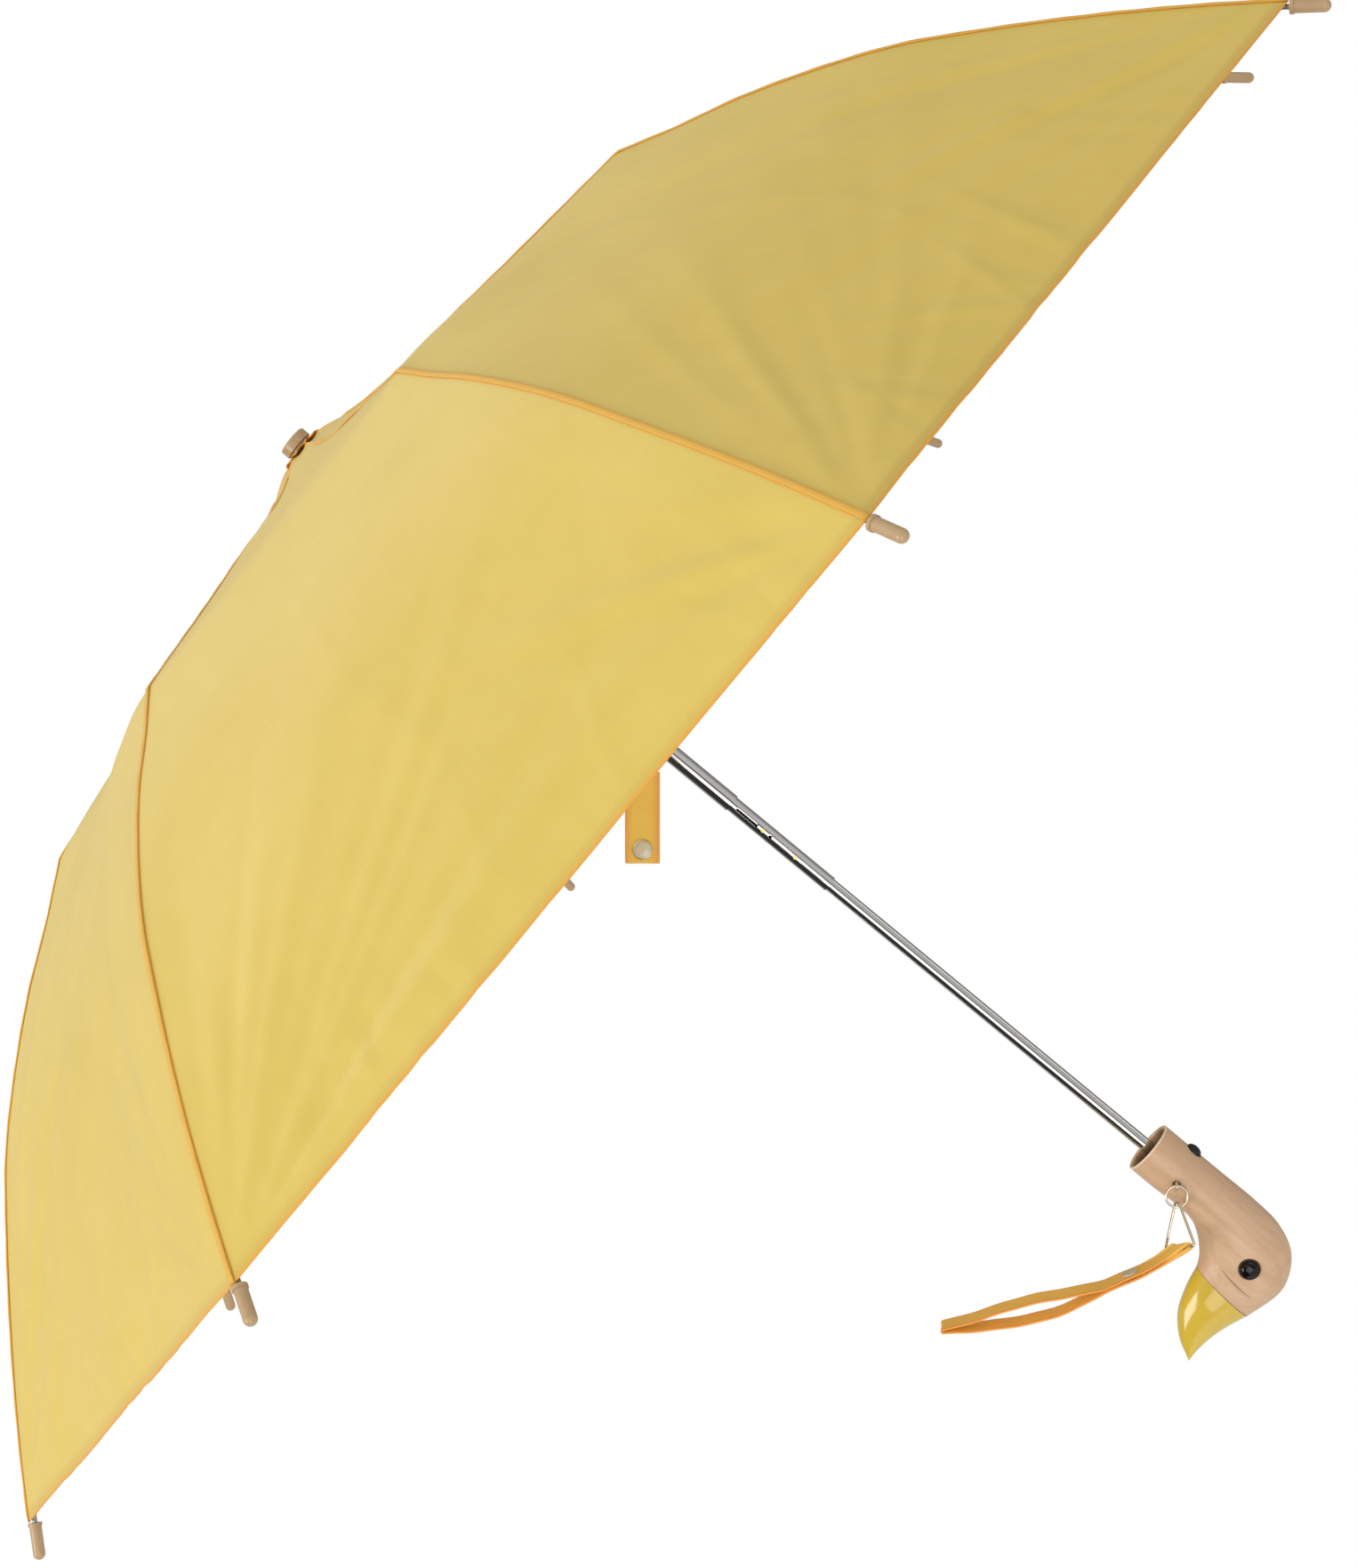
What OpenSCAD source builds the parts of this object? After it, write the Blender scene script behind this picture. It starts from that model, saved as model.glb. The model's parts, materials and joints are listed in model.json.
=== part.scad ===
// Children's folding umbrella with a duck-head handle.
// Frame: Z runs up the shaft, the origin is the centre of the handle's mouth,
// and the beak points to -X. Every rib stands in its own upright plane.

/* [Canopy] */
// Number of ribs
rib_count = 8; // [6:1:8]
// Turn of the first rib from the plane of the duck's head
rib_start = 22.5; // [15:0.5:30]
// Thickness of the canopy skin
cloth_t = 0.6; // [0.5:0.1:1]
// Gap between the canopy skin and the ribs under it
cloth_gap = 1; // [0.8:0.1:2]
// How far the hem bows in between two ribs, as a share of its radius
hem_bow = 0.012; // [0:0.004:0.03]

/* [Ribs] */
// Length of the top rib between its two hinges
top_len = 200; // [150:5:240]
// Droop of the open top rib
top_open = 10.7; // [8:0.1:14]
// Width and depth of the top rib's channel
channel = 3.2; // [3:0.1:3.4]
// Wall of the top rib's channel
channel_wall = 0.5; // [0.4:0.05:0.6]
// Length of the middle rib between its two hinges
mid_len = 124; // [100:2:140]
// Droop of the open middle rib
mid_open = 29.5; // [26:0.5:34]
// Radius of the middle rib's rod
mid_rod_r = 1.1; // [0.9:0.1:1.2]
// Rise of the middle rib's bow
mid_bow = 4.3; // [3:0.1:5]
// Length of the outer rib from its hinge to the end of its tip
outer_len = 165; // [130:5:180]
// Droop of the open outer rib
outer_open = 44.5; // [40:0.5:48]
// Radius of the outer rib's rod
outer_rod_r = 1; // [0.8:0.1:1.1]
// Rise of the outer rib's bow
outer_bow = 3; // [2:0.2:5]
// Radius of the rib tips
tip_r = 2.5; // [2:0.1:3]
// Length of the rib tips
tip_len = 15; // [12:1:20]

/* [Stretchers] */
// Distance from the crown hinge to the stretcher's pivot on the top rib
pivot_at = 60; // [50:2:70]
// Length of the stretcher between its pivots
stretcher_len = 104; // [90:2:120]
// Sideways offset of the stretcher from its rib
stretcher_side = 3; // [2.9:0.1:3.2]
// Thickness of the stretcher
stretcher_t = 2; // [1.6:0.1:2]

/* [Shaft] */
// Outer radius of the lower tube
lower_r = 3; // [2.6:0.1:3.2]
// Wall of the three tubes
tube_wall = 0.35; // [0.3:0.05:0.5]
// Clearance between one tube and the next
tube_gap = 0.15; // [0.1:0.05:0.3]
// Height of the middle tube's lower end
middle_z = 182; // [150:2:190]
// Visible length of the middle tube
middle_show = 56; // [48:2:70]
// Length of each tube that stays inside the next
tube_lap = 33; // [25:1:40]
// Height of the crown's hinges
crown_z = 476; // [440:2:480]

/* [Crown and runner] */
// Radius of the circle of crown hinges
hinge_r = 8; // [7.8:0.1:8.4]
// Radius of the crown disc
crown_r = 10; // [9.8:0.1:10.4]
// Height of the crown disc above its hinges
crown_top = 4; // [3.5:0.5:5]
// Depth of the crown disc below its hinges
crown_drop = 2.5; // [2:0.1:2.5]
// Length of the runner's sleeve
runner_len = 26; // [20:1:34]
// Radius of the runner's sleeve
runner_r = 5.8; // [5.6:0.1:6]
// Radius of the finial's cap
finial_r = 7; // [6:0.5:9]
// Height of the finial's cap
finial_h = 4.4; // [3.5:0.2:6]
// Height of the finial's neck
neck_h = 1.4; // [1:0.2:4]
// Radius of the cloth rosette
rosette_r = 11; // [9:0.5:13]

/* [Handle] */
// Outer radius of the handle's mouth
mouth_r = 12.2; // [12.2:0.1:13]
// Radius of the hollow in the mouth
cup_r = 10.9; // [10:0.1:10.9]
// Depth of the hollow in the mouth
cup_depth = 28; // [24:1:30]
// Depth of the shaft's socket below the mouth
socket_depth = 50; // [40:1:56]
// Radius of the eyes
eye_r = 4.7; // [4:0.1:5]
// Radius of the press button
button_r = 3.6; // [3:0.1:4]
// Depth of the button's centre below the mouth
button_drop = 16.5; // [14:0.5:20]

/* [Straps] */
// Width of the wrist strap
strap_w = 14; // [10:0.5:15]
// Thickness of the strap's ribbon
strap_t = 0.9; // [0.7:0.1:1]
// Width of the closure strap
closure_w = 20; // [14:1:24]
// Length of the closure strap
closure_len = 44; // [40:2:70]
// Radius of the snap on the closure strap
snap_r = 5.5; // [4:0.5:6]
// Radius of the split ring to the middle of its wire
ring_r = 4.7; // [4.7:0.1:5]

/* [Hidden] */
$fn = 48;
PIN_R = 0.6;
PIN_GAP = 0.08;
LUG_T = 1.7;
LUG_R = 1.4;
SLIP = 0.2;

// Radii of the telescoping tubes, each from the one inside it
middle_in = lower_r + tube_gap;
middle_r = middle_in + tube_wall;
upper_in = middle_r + tube_gap;
upper_r = upper_in + tube_wall;
lower_wall = tube_wall + 0.25;
upper_z = middle_z + middle_show;
lower_top = middle_z + tube_lap;
middle_top = upper_z + tube_lap;
crown_top_z = crown_z + crown_top;
cloth_top_z = crown_top_z + cloth_gap + cloth_t;
rosette_z = cloth_top_z + 0.2;
rosette_h = 1.1;
finial_z = rosette_z + rosette_h + neck_h;
upper_top = finial_z + finial_h - 2;

// Offsets of the hinge lines from the ribs that they join
knee_rise = channel / 2 + 0.8;
knee_r = 1.9;
mid_drop = 2.2;
elbow_drop = 2;
elbow_rise = 2.6;
elbow_r = 1.5;
tongue_len = 5;

function turned(p, a) = [p.x * cos(a) - p.y * sin(a), p.x * sin(a) + p.y * cos(a)];
function rib_azimuth(k) = rib_start + (k - 1) * 360 / rib_count;
function bow_at(x, len, sag) = sag * (1 - pow(2 * x / len - 1, 2));
function radial(p, a) = [p.x * cos(a), p.x * sin(a), p.y];
function mix(a, b, s) = a + (b - a) * s;
function unit(v) = v / norm(v);

// Radius and height of points fixed to the three open ribs
function on_top(x, h) = [hinge_r, crown_z] + turned([x, h], -top_open);
knee = on_top(top_len, knee_rise);
function on_mid(x, h) = knee + turned([x, h], -mid_open);
elbow = on_mid(mid_len, -mid_drop - elbow_drop);
function on_outer(x, h) = elbow + turned([x, h], -outer_open);
pivot = on_top(pivot_at, 0);
stretcher_rise = sqrt(pow(stretcher_len, 2) - pow(pivot.x - hinge_r, 2));
runner_z = pivot.y - stretcher_rise;
stretcher_open = atan2(stretcher_rise, pivot.x - hinge_r);

// Outline of the canopy above one rib, from the crown to the hem
lift = cloth_gap + cloth_t;
hem_x = outer_len - tip_len - 0.6;
function mid_cloth(s) = on_mid(s * mid_len, bow_at(s * mid_len, mid_len, mid_bow) - mid_drop + mid_rod_r + lift);
function outer_cloth(s) =
    on_outer(s * hem_x, bow_at(s * hem_x, outer_len, outer_bow) + elbow_rise + outer_rod_r + lift);
ridge = concat(
    [[upper_r + 1, cloth_top_z], [crown_r + 1, cloth_top_z]],
    [for (s = [0.1, 0.5]) on_top(s * top_len, channel / 2 + lift)],
    [knee + [0, knee_r + lift]],
    [for (s = [0.2, 0.45, 0.7]) mid_cloth(s)],
    [for (s = [0.02, 0.2, 0.4, 0.6, 0.8, 1]) outer_cloth(s)]
);
GORE_STEPS = 4;

// Outline of the duck's head: points down its throat and down its back,
// with the half width of the head between each pair
throat = [[-mouth_r, 0], [-12.2, -14], [-11.6, -27], [-12.6, -36], [-16.1, -42.5], [-21.2, -48], [-24.6, -50.4],
    [-27.6, -51.8]];
back = [[mouth_r, 0], [12.1, -16], [12.1, -34], [12.1, -52], [10.4, -67.2], [3.4, -80], [-11.2, -86.9],
    [-30.1, -83.2]];
head_w = [mouth_r, 12.1, 12, 12.2, 12.2, 11.6, 10.3, 8.8];
beak_upper = [[-27.6, -51.8], [-37.5, -54.2], [-48.5, -58.9], [-57, -67], [-62, -76.2]];
beak_lower = [[-30.1, -83.2], [-39, -80], [-47, -78], [-55.5, -77.1], [-62.6, -77.4]];
beak_w = [8.8, 8, 6.2, 3.8, 0.6];
SIDES = 32;
PER_SPAN = 4;
eye_at = [-11.4, -67.3];
eye_y = 10.4;
EYE_SEAT = 3;

// The ring, the triangle and the strap on the near side of the handle
eyelet = [-2.9, -14.2, -18.2];
ring_dir = unit([-0.76, 0, -0.65]);
WIRE_R = 0.5;
ring_at = eyelet + ring_dir * ring_r;
link_dir = unit([-0.72, 0, -0.69]);
TRI_WIRE = 0.6;
loop_mid = ring_at + link_dir * ring_r - 2 * unit([-0.689, -0.296, -0.661]);
LOOP_HALF = 1.2;
corner_in = [-28.2, -12.6, -33.4];
corner_out = [-15.7, -27.6, -38.4];
bar_mid = (corner_in + corner_out) / 2;
strap_turn = [-62, bar_mid.y, -27];
strap_end = [-117, bar_mid.y, 18.6];

// The closure strap hangs from the hem between the third rib and the second
closure_share = 0.22;
closure_dir = unit([-0.76, -0.14, -0.64]);
hem_pt = ridge[len(ridge) - 1];
closure_top = mix(radial(hem_pt, rib_azimuth(3)), radial(hem_pt, rib_azimuth(2)), closure_share) - [0, 2, 6.5];

RIB_NODES = [for (name = ["top_rib_", "mid_rib_", "outer_rib_", "rib_tip_", "stretcher_"], k = [1:rib_count])
    str(name, k)];

// ---- Shared shapes ----

// A flat plate drawn in a rib's own plane, x along the rib and y above it
module plate(t, side = 0) {
    translate([0, side, 0])
        rotate([90, 0, 0])
            linear_extrude(t, center = true)
                children();
}

module cross_pin(x, h, r, t) {
    translate([x, 0, h])
        rotate([90, 0, 0])
            cylinder(r = r, h = t, center = true);
}

// A rod that bows upwards between two points at the same height
module bowed_rod(from, to, len, sag, r) {
    bend_r = (pow(len / 2, 2) + pow(sag, 2)) / (2 * sag);
    start = asin((len / 2 - from) / bend_r);
    sweep = start + asin((to - len / 2) / bend_r);
    translate([len / 2, 0, sag - bend_r])
        rotate([90, 0, 0])
            rotate([0, 0, 90 + start - sweep])
                rotate_extrude(angle = sweep)
                    translate([bend_r, 0])
                        circle(r);
}

// Puts a shape at a point of rib k's plane, turned down by the angle droop
module in_rib_plane(k, p, droop) {
    rotate([0, 0, rib_azimuth(k)])
        translate([p.x, 0, p.y])
            rotate([0, droop, 0])
                children();
}

// Catmull-Rom point of a list, at span i and share s of that span
function spline(v, i, s) = let (
    a = v[max(i - 1, 0)], b = v[i], c = v[i + 1], d = v[min(i + 2, len(v) - 1)]
) (2 * b + (c - a) * s + (2 * a - 5 * b + 4 * c - d) * s * s + (3 * b - a - 3 * c + d) * s * s * s) / 2;

function spline_points(v) = [for (i = [0:len(v) - 2], j = [0:PER_SPAN - 1]) spline(v, i, j / PER_SPAN),
    v[len(v) - 1]];

// A closed skin through oval sections, each spanning two points of the XZ plane
module oval_loft(side_a, side_b, half_w) {
    a = spline_points(side_a);
    b = spline_points(side_b);
    w = spline_points(half_w);
    n = len(a);
    points = [for (i = [0:n - 1], j = [0:SIDES - 1]) let (
        mid = (a[i] + b[i]) / 2, reach = (a[i] - b[i]) / 2, t = j * 360 / SIDES
    ) [mid.x + reach.x * cos(t), w[i] * sin(t), mid.y + reach.y * cos(t)]];
    walls = [for (i = [0:n - 2], j = [0:SIDES - 1]) let (next = (j + 1) % SIDES)
        each [[i * SIDES + j, i * SIDES + next, (i + 1) * SIDES + j],
            [i * SIDES + next, (i + 1) * SIDES + next, (i + 1) * SIDES + j]]];
    ends = [[for (j = [SIDES - 1:-1:0]) j], [for (j = [0:SIDES - 1]) (n - 1) * SIDES + j]];
    polyhedron(points, concat(walls, ends));
}

// ---- Handle ----

module handle() {
    color("burlywood")
        difference() {
            oval_loft(throat, back, head_w);
            translate([0, 0, -cup_depth])
                cylinder(r = cup_r, h = cup_depth + 1);
            translate([0, 0, -socket_depth])
                cylinder(r = lower_r, h = socket_depth);
            translate([cup_r - 3, 0, -button_drop])
                rotate([0, 90, 0])
                    cylinder(r = button_r + SLIP, h = 8);
            for (side = [-1, 1])
                translate([eye_at.x, side * eye_y, eye_at.y])
                    rotate([-90 * side, 0, 0])
                        translate([0, 0, -EYE_SEAT])
                            cylinder(r = eye_r, h = 10);
            translate([eyelet.x, 0, eyelet.z])
                rotate([90, 0, 0])
                    cylinder(r = 1, h = 20);
        }
}

module beak() {
    color("gold")
        oval_loft(beak_upper, beak_lower, beak_w);
}

module eyes() {
    bead_h = 1.7;
    dome_r = (pow(eye_r - 0.9, 2) + pow(bead_h, 2)) / (2 * bead_h);
    color("black")
        for (side = [-1, 1])
            translate([eye_at.x, side * eye_y, eye_at.y])
                rotate([-90 * side, 0, 0]) {
                    translate([0, 0, -EYE_SEAT])
                        cylinder(r = eye_r, h = EYE_SEAT + 1.4);
                    translate([0, 0, 1.4])
                        intersection() {
                            cylinder(r = eye_r - 0.9, h = bead_h);
                            translate([0, 0, bead_h - dome_r])
                                sphere(dome_r);
                        }
                }
}

module strap_eyelet() {
    loop_r = 1.75;
    color("silver") {
        translate(eyelet)
            rotate([0, atan2(ring_dir.x, ring_dir.z) + 90, 0])
                rotate_extrude()
                    translate([loop_r, 0])
                        circle(0.5);
        translate([eyelet.x, eyelet.y + loop_r + 4.4, eyelet.z])
            rotate([90, 0, 0])
                cylinder(r = 1, h = 4.2);
    }
}

module press_button() {
    reach = mouth_r - 0.4;
    dome_h = 1.6;
    dome_r = (pow(button_r, 2) + pow(dome_h, 2)) / (2 * dome_h);
    color("dimgray")
        translate([0, 0, -button_drop])
            rotate([0, 90, 0]) {
                translate([0, 0, cup_r - 3.4])
                    cylinder(r = button_r + 0.7, h = 1);
                translate([0, 0, cup_r - 2.6])
                    cylinder(r = button_r, h = reach + 0.8 - cup_r + 2.6);
                translate([0, 0, reach + 0.8])
                    intersection() {
                        cylinder(r = button_r, h = dome_h);
                        translate([0, 0, dome_h - dome_r])
                            sphere(dome_r);
                    }
            }
}

// ---- Shaft ----

module tube(outer, inner, bottom, top) {
    translate([0, 0, bottom])
        difference() {
            cylinder(r = outer, h = top - bottom);
            translate([0, 0, -1])
                cylinder(r = inner, h = top - bottom + 2);
        }
}

module lower_tube() {
    flute_r = 0.7;
    flute_depth = 0.25;
    color("silver")
        difference() {
            tube(lower_r, lower_r - lower_wall, -socket_depth, lower_top);
            for (a = [45:90:315])
                rotate([0, 0, a])
                    translate([lower_r + flute_r - flute_depth, 0, -socket_depth + 30])
                        cylinder(r = flute_r, h = lower_top);
        }
}

// Three slots in the middle tube face the side of the head, with a pin below two of them
SLOT_W = 1.8;
SLOT_L = 12;
SLOT_STEP = 18.5;
function slot_z(i) = upper_z - 52 + i * SLOT_STEP;

module middle_tube() {
    color("silver")
        difference() {
            tube(middle_r, middle_in, middle_z, middle_top);
            for (i = [0:2])
                translate([-SLOT_W / 2, -middle_r - 1, slot_z(i)])
                    cube([SLOT_W, 2, SLOT_L]);
            for (i = [1:2])
                translate([0, 0, slot_z(i) - 3])
                    rotate([90, 0, 0])
                        cylinder(r = PIN_R + 0.3, h = 8);
        }
}

module catch_pins() {
    color("gold")
        for (i = [1:2])
            translate([0, -middle_in, slot_z(i) - 3])
                rotate([90, 0, 0])
                    cylinder(r = PIN_R + 0.3, h = tube_wall);
}

module upper_tube() {
    color("silver")
        tube(upper_r, upper_in, upper_z, upper_top);
}

// ---- Crown and runner ----

module hinge_slots(depth, width, side, low, high) {
    for (k = [1:rib_count])
        rotate([0, 0, rib_azimuth(k)]) {
            translate([hinge_r - depth, side - width / 2, low])
                cube([depth + 10, width, high - low]);
            translate([hinge_r, side, 0])
                rotate([90, 0, 0])
                    cylinder(r = PIN_R + PIN_GAP, h = width + 2.2, center = true);
        }
}

module crown() {
    color("dimgray")
        translate([0, 0, crown_z])
            difference() {
                translate([0, 0, -crown_drop])
                    cylinder(r = crown_r, h = crown_drop + crown_top);
                cylinder(r = upper_r, h = 40, center = true);
                hinge_slots(2.1, LUG_T + 2 * SLIP, 0, -crown_drop - 1, 2.2);
            }
}

module runner() {
    color("dimgray")
        translate([0, 0, runner_z])
            difference() {
                union() {
                    translate([0, 0, -2.4])
                        cylinder(r = crown_r, h = 4.8);
                    translate([0, 0, -runner_len])
                        cylinder(r = runner_r, h = runner_len);
                    translate([0, 0, -runner_len])
                        cylinder(r = runner_r + 1.2, h = 3);
                }
                cylinder(r = upper_r + SLIP, h = 80, center = true);
                hinge_slots(1.9, stretcher_t + 2 * SLIP, stretcher_side, -1.8, 4);
            }
}

module finial() {
    color("tan")
        difference() {
            union() {
                translate([0, 0, finial_z])
                    rotate_extrude()
                        difference() {
                            union() {
                                square([finial_r, finial_h - 0.8]);
                                square([finial_r - 0.8, finial_h]);
                                translate([finial_r - 0.8, finial_h - 0.8])
                                    circle(0.8);
                            }
                            translate([-2 * finial_r, -1])
                                square([2 * finial_r, finial_h + 2]);
                        }
                translate([0, 0, rosette_z + rosette_h])
                    cylinder(r = upper_r + 1.2, h = finial_z - rosette_z - rosette_h);
            }
            translate([0, 0, rosette_z])
                cylinder(r = upper_r, h = upper_top - rosette_z);
        }
}

module rosette() {
    petals = 12;
    color("orange")
        translate([0, 0, rosette_z])
            linear_extrude(rosette_h)
                difference() {
                    union() {
                        circle(rosette_r - 1.4);
                        for (i = [0:petals - 1])
                            rotate(i * 360 / petals)
                                translate([rosette_r - 2.4, 0])
                                    circle(2.4);
                    }
                    circle(upper_r + 0.1);
                }
}

// ---- Canopy ----

// A point of the canopy at station i of the ridge and step j of the round
function canopy_point(i, j, down) = let (
    k = floor(j / GORE_STEPS) + 1,
    s = j / GORE_STEPS - (k - 1),
    pull = 1 - hem_bow * 4 * s * (1 - s) * pow(i / (len(ridge) - 1), 4),
    p = ridge[i],
    q = mix(radial([p.x, 0], rib_azimuth(k)), radial([p.x, 0], rib_azimuth(k + 1)), s)
) [q.x * pull, q.y * pull, p.y - down];

module canopy() {
    n = len(ridge);
    m = rib_count * GORE_STEPS;
    points = [for (down = [0, cloth_t], i = [0:n - 1], j = [0:m - 1]) canopy_point(i, j, down)];
    function at(layer, i, j) = layer * n * m + i * m + j % m;
    skins = [for (i = [0:n - 2], j = [0:m - 1])
        each [[at(0, i, j), at(0, i, j + 1), at(0, i + 1, j)],
            [at(0, i, j + 1), at(0, i + 1, j + 1), at(0, i + 1, j)],
            [at(1, i, j), at(1, i + 1, j), at(1, i, j + 1)],
            [at(1, i, j + 1), at(1, i + 1, j), at(1, i + 1, j + 1)]]];
    edges = [for (j = [0:m - 1])
        each [[at(0, 0, j), at(1, 0, j), at(0, 0, j + 1)],
            [at(0, 0, j + 1), at(1, 0, j), at(1, 0, j + 1)],
            [at(0, n - 1, j), at(0, n - 1, j + 1), at(1, n - 1, j)],
            [at(0, n - 1, j + 1), at(1, n - 1, j + 1), at(1, n - 1, j)]]];
    color("khaki")
        polyhedron(points, concat(skins, edges));
}

// ---- Ribs ----

module top_rib(k) {
    body_end = top_len - 2.6;
    color("silver")
        in_rib_plane(k, [hinge_r, crown_z], top_open) {
            difference() {
                union() {
                    translate([tongue_len, -channel / 2, -channel / 2])
                        cube([body_end - tongue_len, channel, channel]);
                    plate(LUG_T)
                        union() {
                            circle(LUG_R);
                            translate([0, -LUG_R])
                                square([tongue_len + 1, 2 * LUG_R]);
                        }
                    for (side = [-1, 1])
                        plate(channel_wall, side * (channel - channel_wall) / 2)
                            union() {
                                translate([body_end - 4, -channel / 2])
                                    square([6, channel]);
                                translate([top_len - knee_r, channel / 2 - 1])
                                    square([2 * knee_r, knee_rise - channel / 2 + 1]);
                                translate([top_len, knee_rise])
                                    circle(knee_r);
                            }
                }
                translate([tongue_len + 2, -channel / 2 + channel_wall, -channel])
                    cube([top_len, channel - 2 * channel_wall, 1.5 * channel - channel_wall]);
                cross_pin(top_len, knee_rise, PIN_R + PIN_GAP, 2 * channel);
            }
            cross_pin(0, 0, PIN_R, LUG_T + 2);
        }
}

module mid_rib(k) {
    fork_from = mid_len - 6;
    fork_h = -mid_drop - elbow_drop;
    color("silver")
        in_rib_plane(k, knee, mid_open) {
            plate(LUG_T)
                union() {
                    circle(LUG_R);
                    translate([0, -mid_drop - 0.6])
                        square([4.5, mid_drop + 0.6]);
                }
            cross_pin(0, 0, PIN_R, channel);
            translate([0, 0, -mid_drop])
                bowed_rod(2.6, fork_from + 1, mid_len, mid_bow, mid_rod_r);
            difference() {
                union() {
                    translate([fork_from, -channel / 2, fork_h + PIN_GAP])
                        cube([3, channel, elbow_drop + mid_rod_r - PIN_GAP]);
                    for (side = [-1, 1])
                        plate(channel_wall, side * (channel - channel_wall) / 2)
                            union() {
                                translate([fork_from + 2, fork_h - 0.5])
                                    square([4, elbow_drop + mid_rod_r + 0.5]);
                                translate([mid_len, fork_h])
                                    circle(elbow_r);
                            }
                }
                cross_pin(mid_len, fork_h, PIN_R + PIN_GAP, 2 * channel);
            }
        }
}

module outer_rib(k) {
    color("silver")
        in_rib_plane(k, elbow, outer_open) {
            plate(LUG_T)
                union() {
                    circle(LUG_R);
                    square([4.5, elbow_rise + 0.6]);
                }
            cross_pin(0, 0, PIN_R, channel);
            translate([0, 0, elbow_rise])
                bowed_rod(2.6, outer_len - tip_len + 6, outer_len, outer_bow, outer_rod_r);
        }
}

module rib_tip(k) {
    tilt = 2 * atan(2 * outer_bow / outer_len);
    bore_len = 6.2;
    color("tan")
        in_rib_plane(k, on_outer(outer_len, elbow_rise), outer_open + tilt)
            rotate([0, -90, 0])
                difference() {
                    union() {
                        translate([0, 0, tip_r])
                            cylinder(r = tip_r, h = tip_len - tip_r);
                        translate([0, 0, tip_r])
                            sphere(tip_r);
                        translate([0, 0, tip_len - 1.4])
                            cylinder(r = tip_r + 0.4, h = 1.4);
                    }
                    translate([0, 0, tip_len - bore_len])
                        cylinder(r = outer_rod_r + 0.3, h = bore_len + 1);
                }
}

module stretcher(k) {
    bar = 2.4;
    color("silver")
        rotate([0, 0, rib_azimuth(k)])
            translate([hinge_r, stretcher_side, runner_z])
                rotate([0, -stretcher_open, 0]) {
                    plate(stretcher_t)
                        difference() {
                            union() {
                                circle(1.5);
                                translate([0, -bar / 2])
                                    square([stretcher_len, bar]);
                                translate([stretcher_len, 0])
                                    circle(1.6);
                            }
                            translate([stretcher_len, 0])
                                circle(PIN_R + 0.2);
                        }
                    cross_pin(0, 0, PIN_R, stretcher_t + 2);
                }
}

// ---- Straps and their fittings ----

module split_ring() {
    color("silver")
        translate(ring_at)
            rotate([90, 0, 0])
                rotate_extrude()
                    translate([ring_r, 0])
                        circle(WIRE_R);
}

// The triangle's middle line: a narrow loop round the ring, and a soft bend at each corner
tri_plane = unit(cross(corner_in - loop_mid, corner_out - loop_mid));
loop_side = LOOP_HALF * unit(cross(tri_plane, bar_mid - loop_mid));
CORNERS = [loop_mid - loop_side, corner_in, corner_out, loop_mid + loop_side];
BENDS = [1.08, 1.6, 1.6, 1.08];
BEND_STEPS = 5;
function toward(i, j) = CORNERS[i] + BENDS[i] * unit(CORNERS[j] - CORNERS[i]);
tri_line = [for (i = [0:3], j = [0:BEND_STEPS]) let (
    s = j / BEND_STEPS, a = toward(i, (i + 3) % 4), b = toward(i, (i + 1) % 4)
) mix(mix(a, CORNERS[i], s), mix(CORNERS[i], b, s), s)];

module triangle_link() {
    n = len(tri_line);
    round = 16;
    points = [for (i = [0:n - 1]) let (
        out = unit(cross(tri_line[(i + 1) % n] - tri_line[(i + n - 1) % n], tri_plane))
    ) each [for (c = [0:round - 1]) let (t = c * 360 / round)
        tri_line[i] + TRI_WIRE * (out * cos(t) + tri_plane * sin(t))]];
    color("silver")
        polyhedron(points, [for (i = [0:n - 1], c = [0:round - 1]) let (
            a = i * round + c, b = i * round + (c + 1) % round,
            d = ((i + 1) % n) * round + c, e = ((i + 1) % n) * round + (c + 1) % round
        ) each [[a, d, b], [b, d, e]]]);
}

// The wrist strap is one ribbon loop. Its middle line bends once, and its width
// turns from the triangle's bar to the Y axis on the way to the far end.
STRAP_STEPS = 20;
BAR_ROOM = TRI_WIRE + strap_t / 2 + 0.25;
function strap_line(u) = mix(mix(bar_mid, strap_turn, u), mix(strap_turn, strap_end, u), u);
function strap_heading(u) = unit(mix(strap_turn - bar_mid, strap_end - strap_turn, u));
function strap_across(u) = unit(mix(unit(corner_out - corner_in), [0, -1, 0], min(1, u / 0.4)));
function strap_out(u) = unit(cross(strap_across(u), strap_heading(u)));
function strap_half_gap(u) = u < 0.1 ? mix(BAR_ROOM, 0.6, u / 0.1)
    : 0.6 + 3.4 * pow(sin(180 * max(0, u - 0.4) / 0.6), 1.2);
function strap_station(u, side) = [strap_line(u) + side * strap_half_gap(u) * strap_out(u),
    side * strap_out(u), strap_across(u)];

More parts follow.
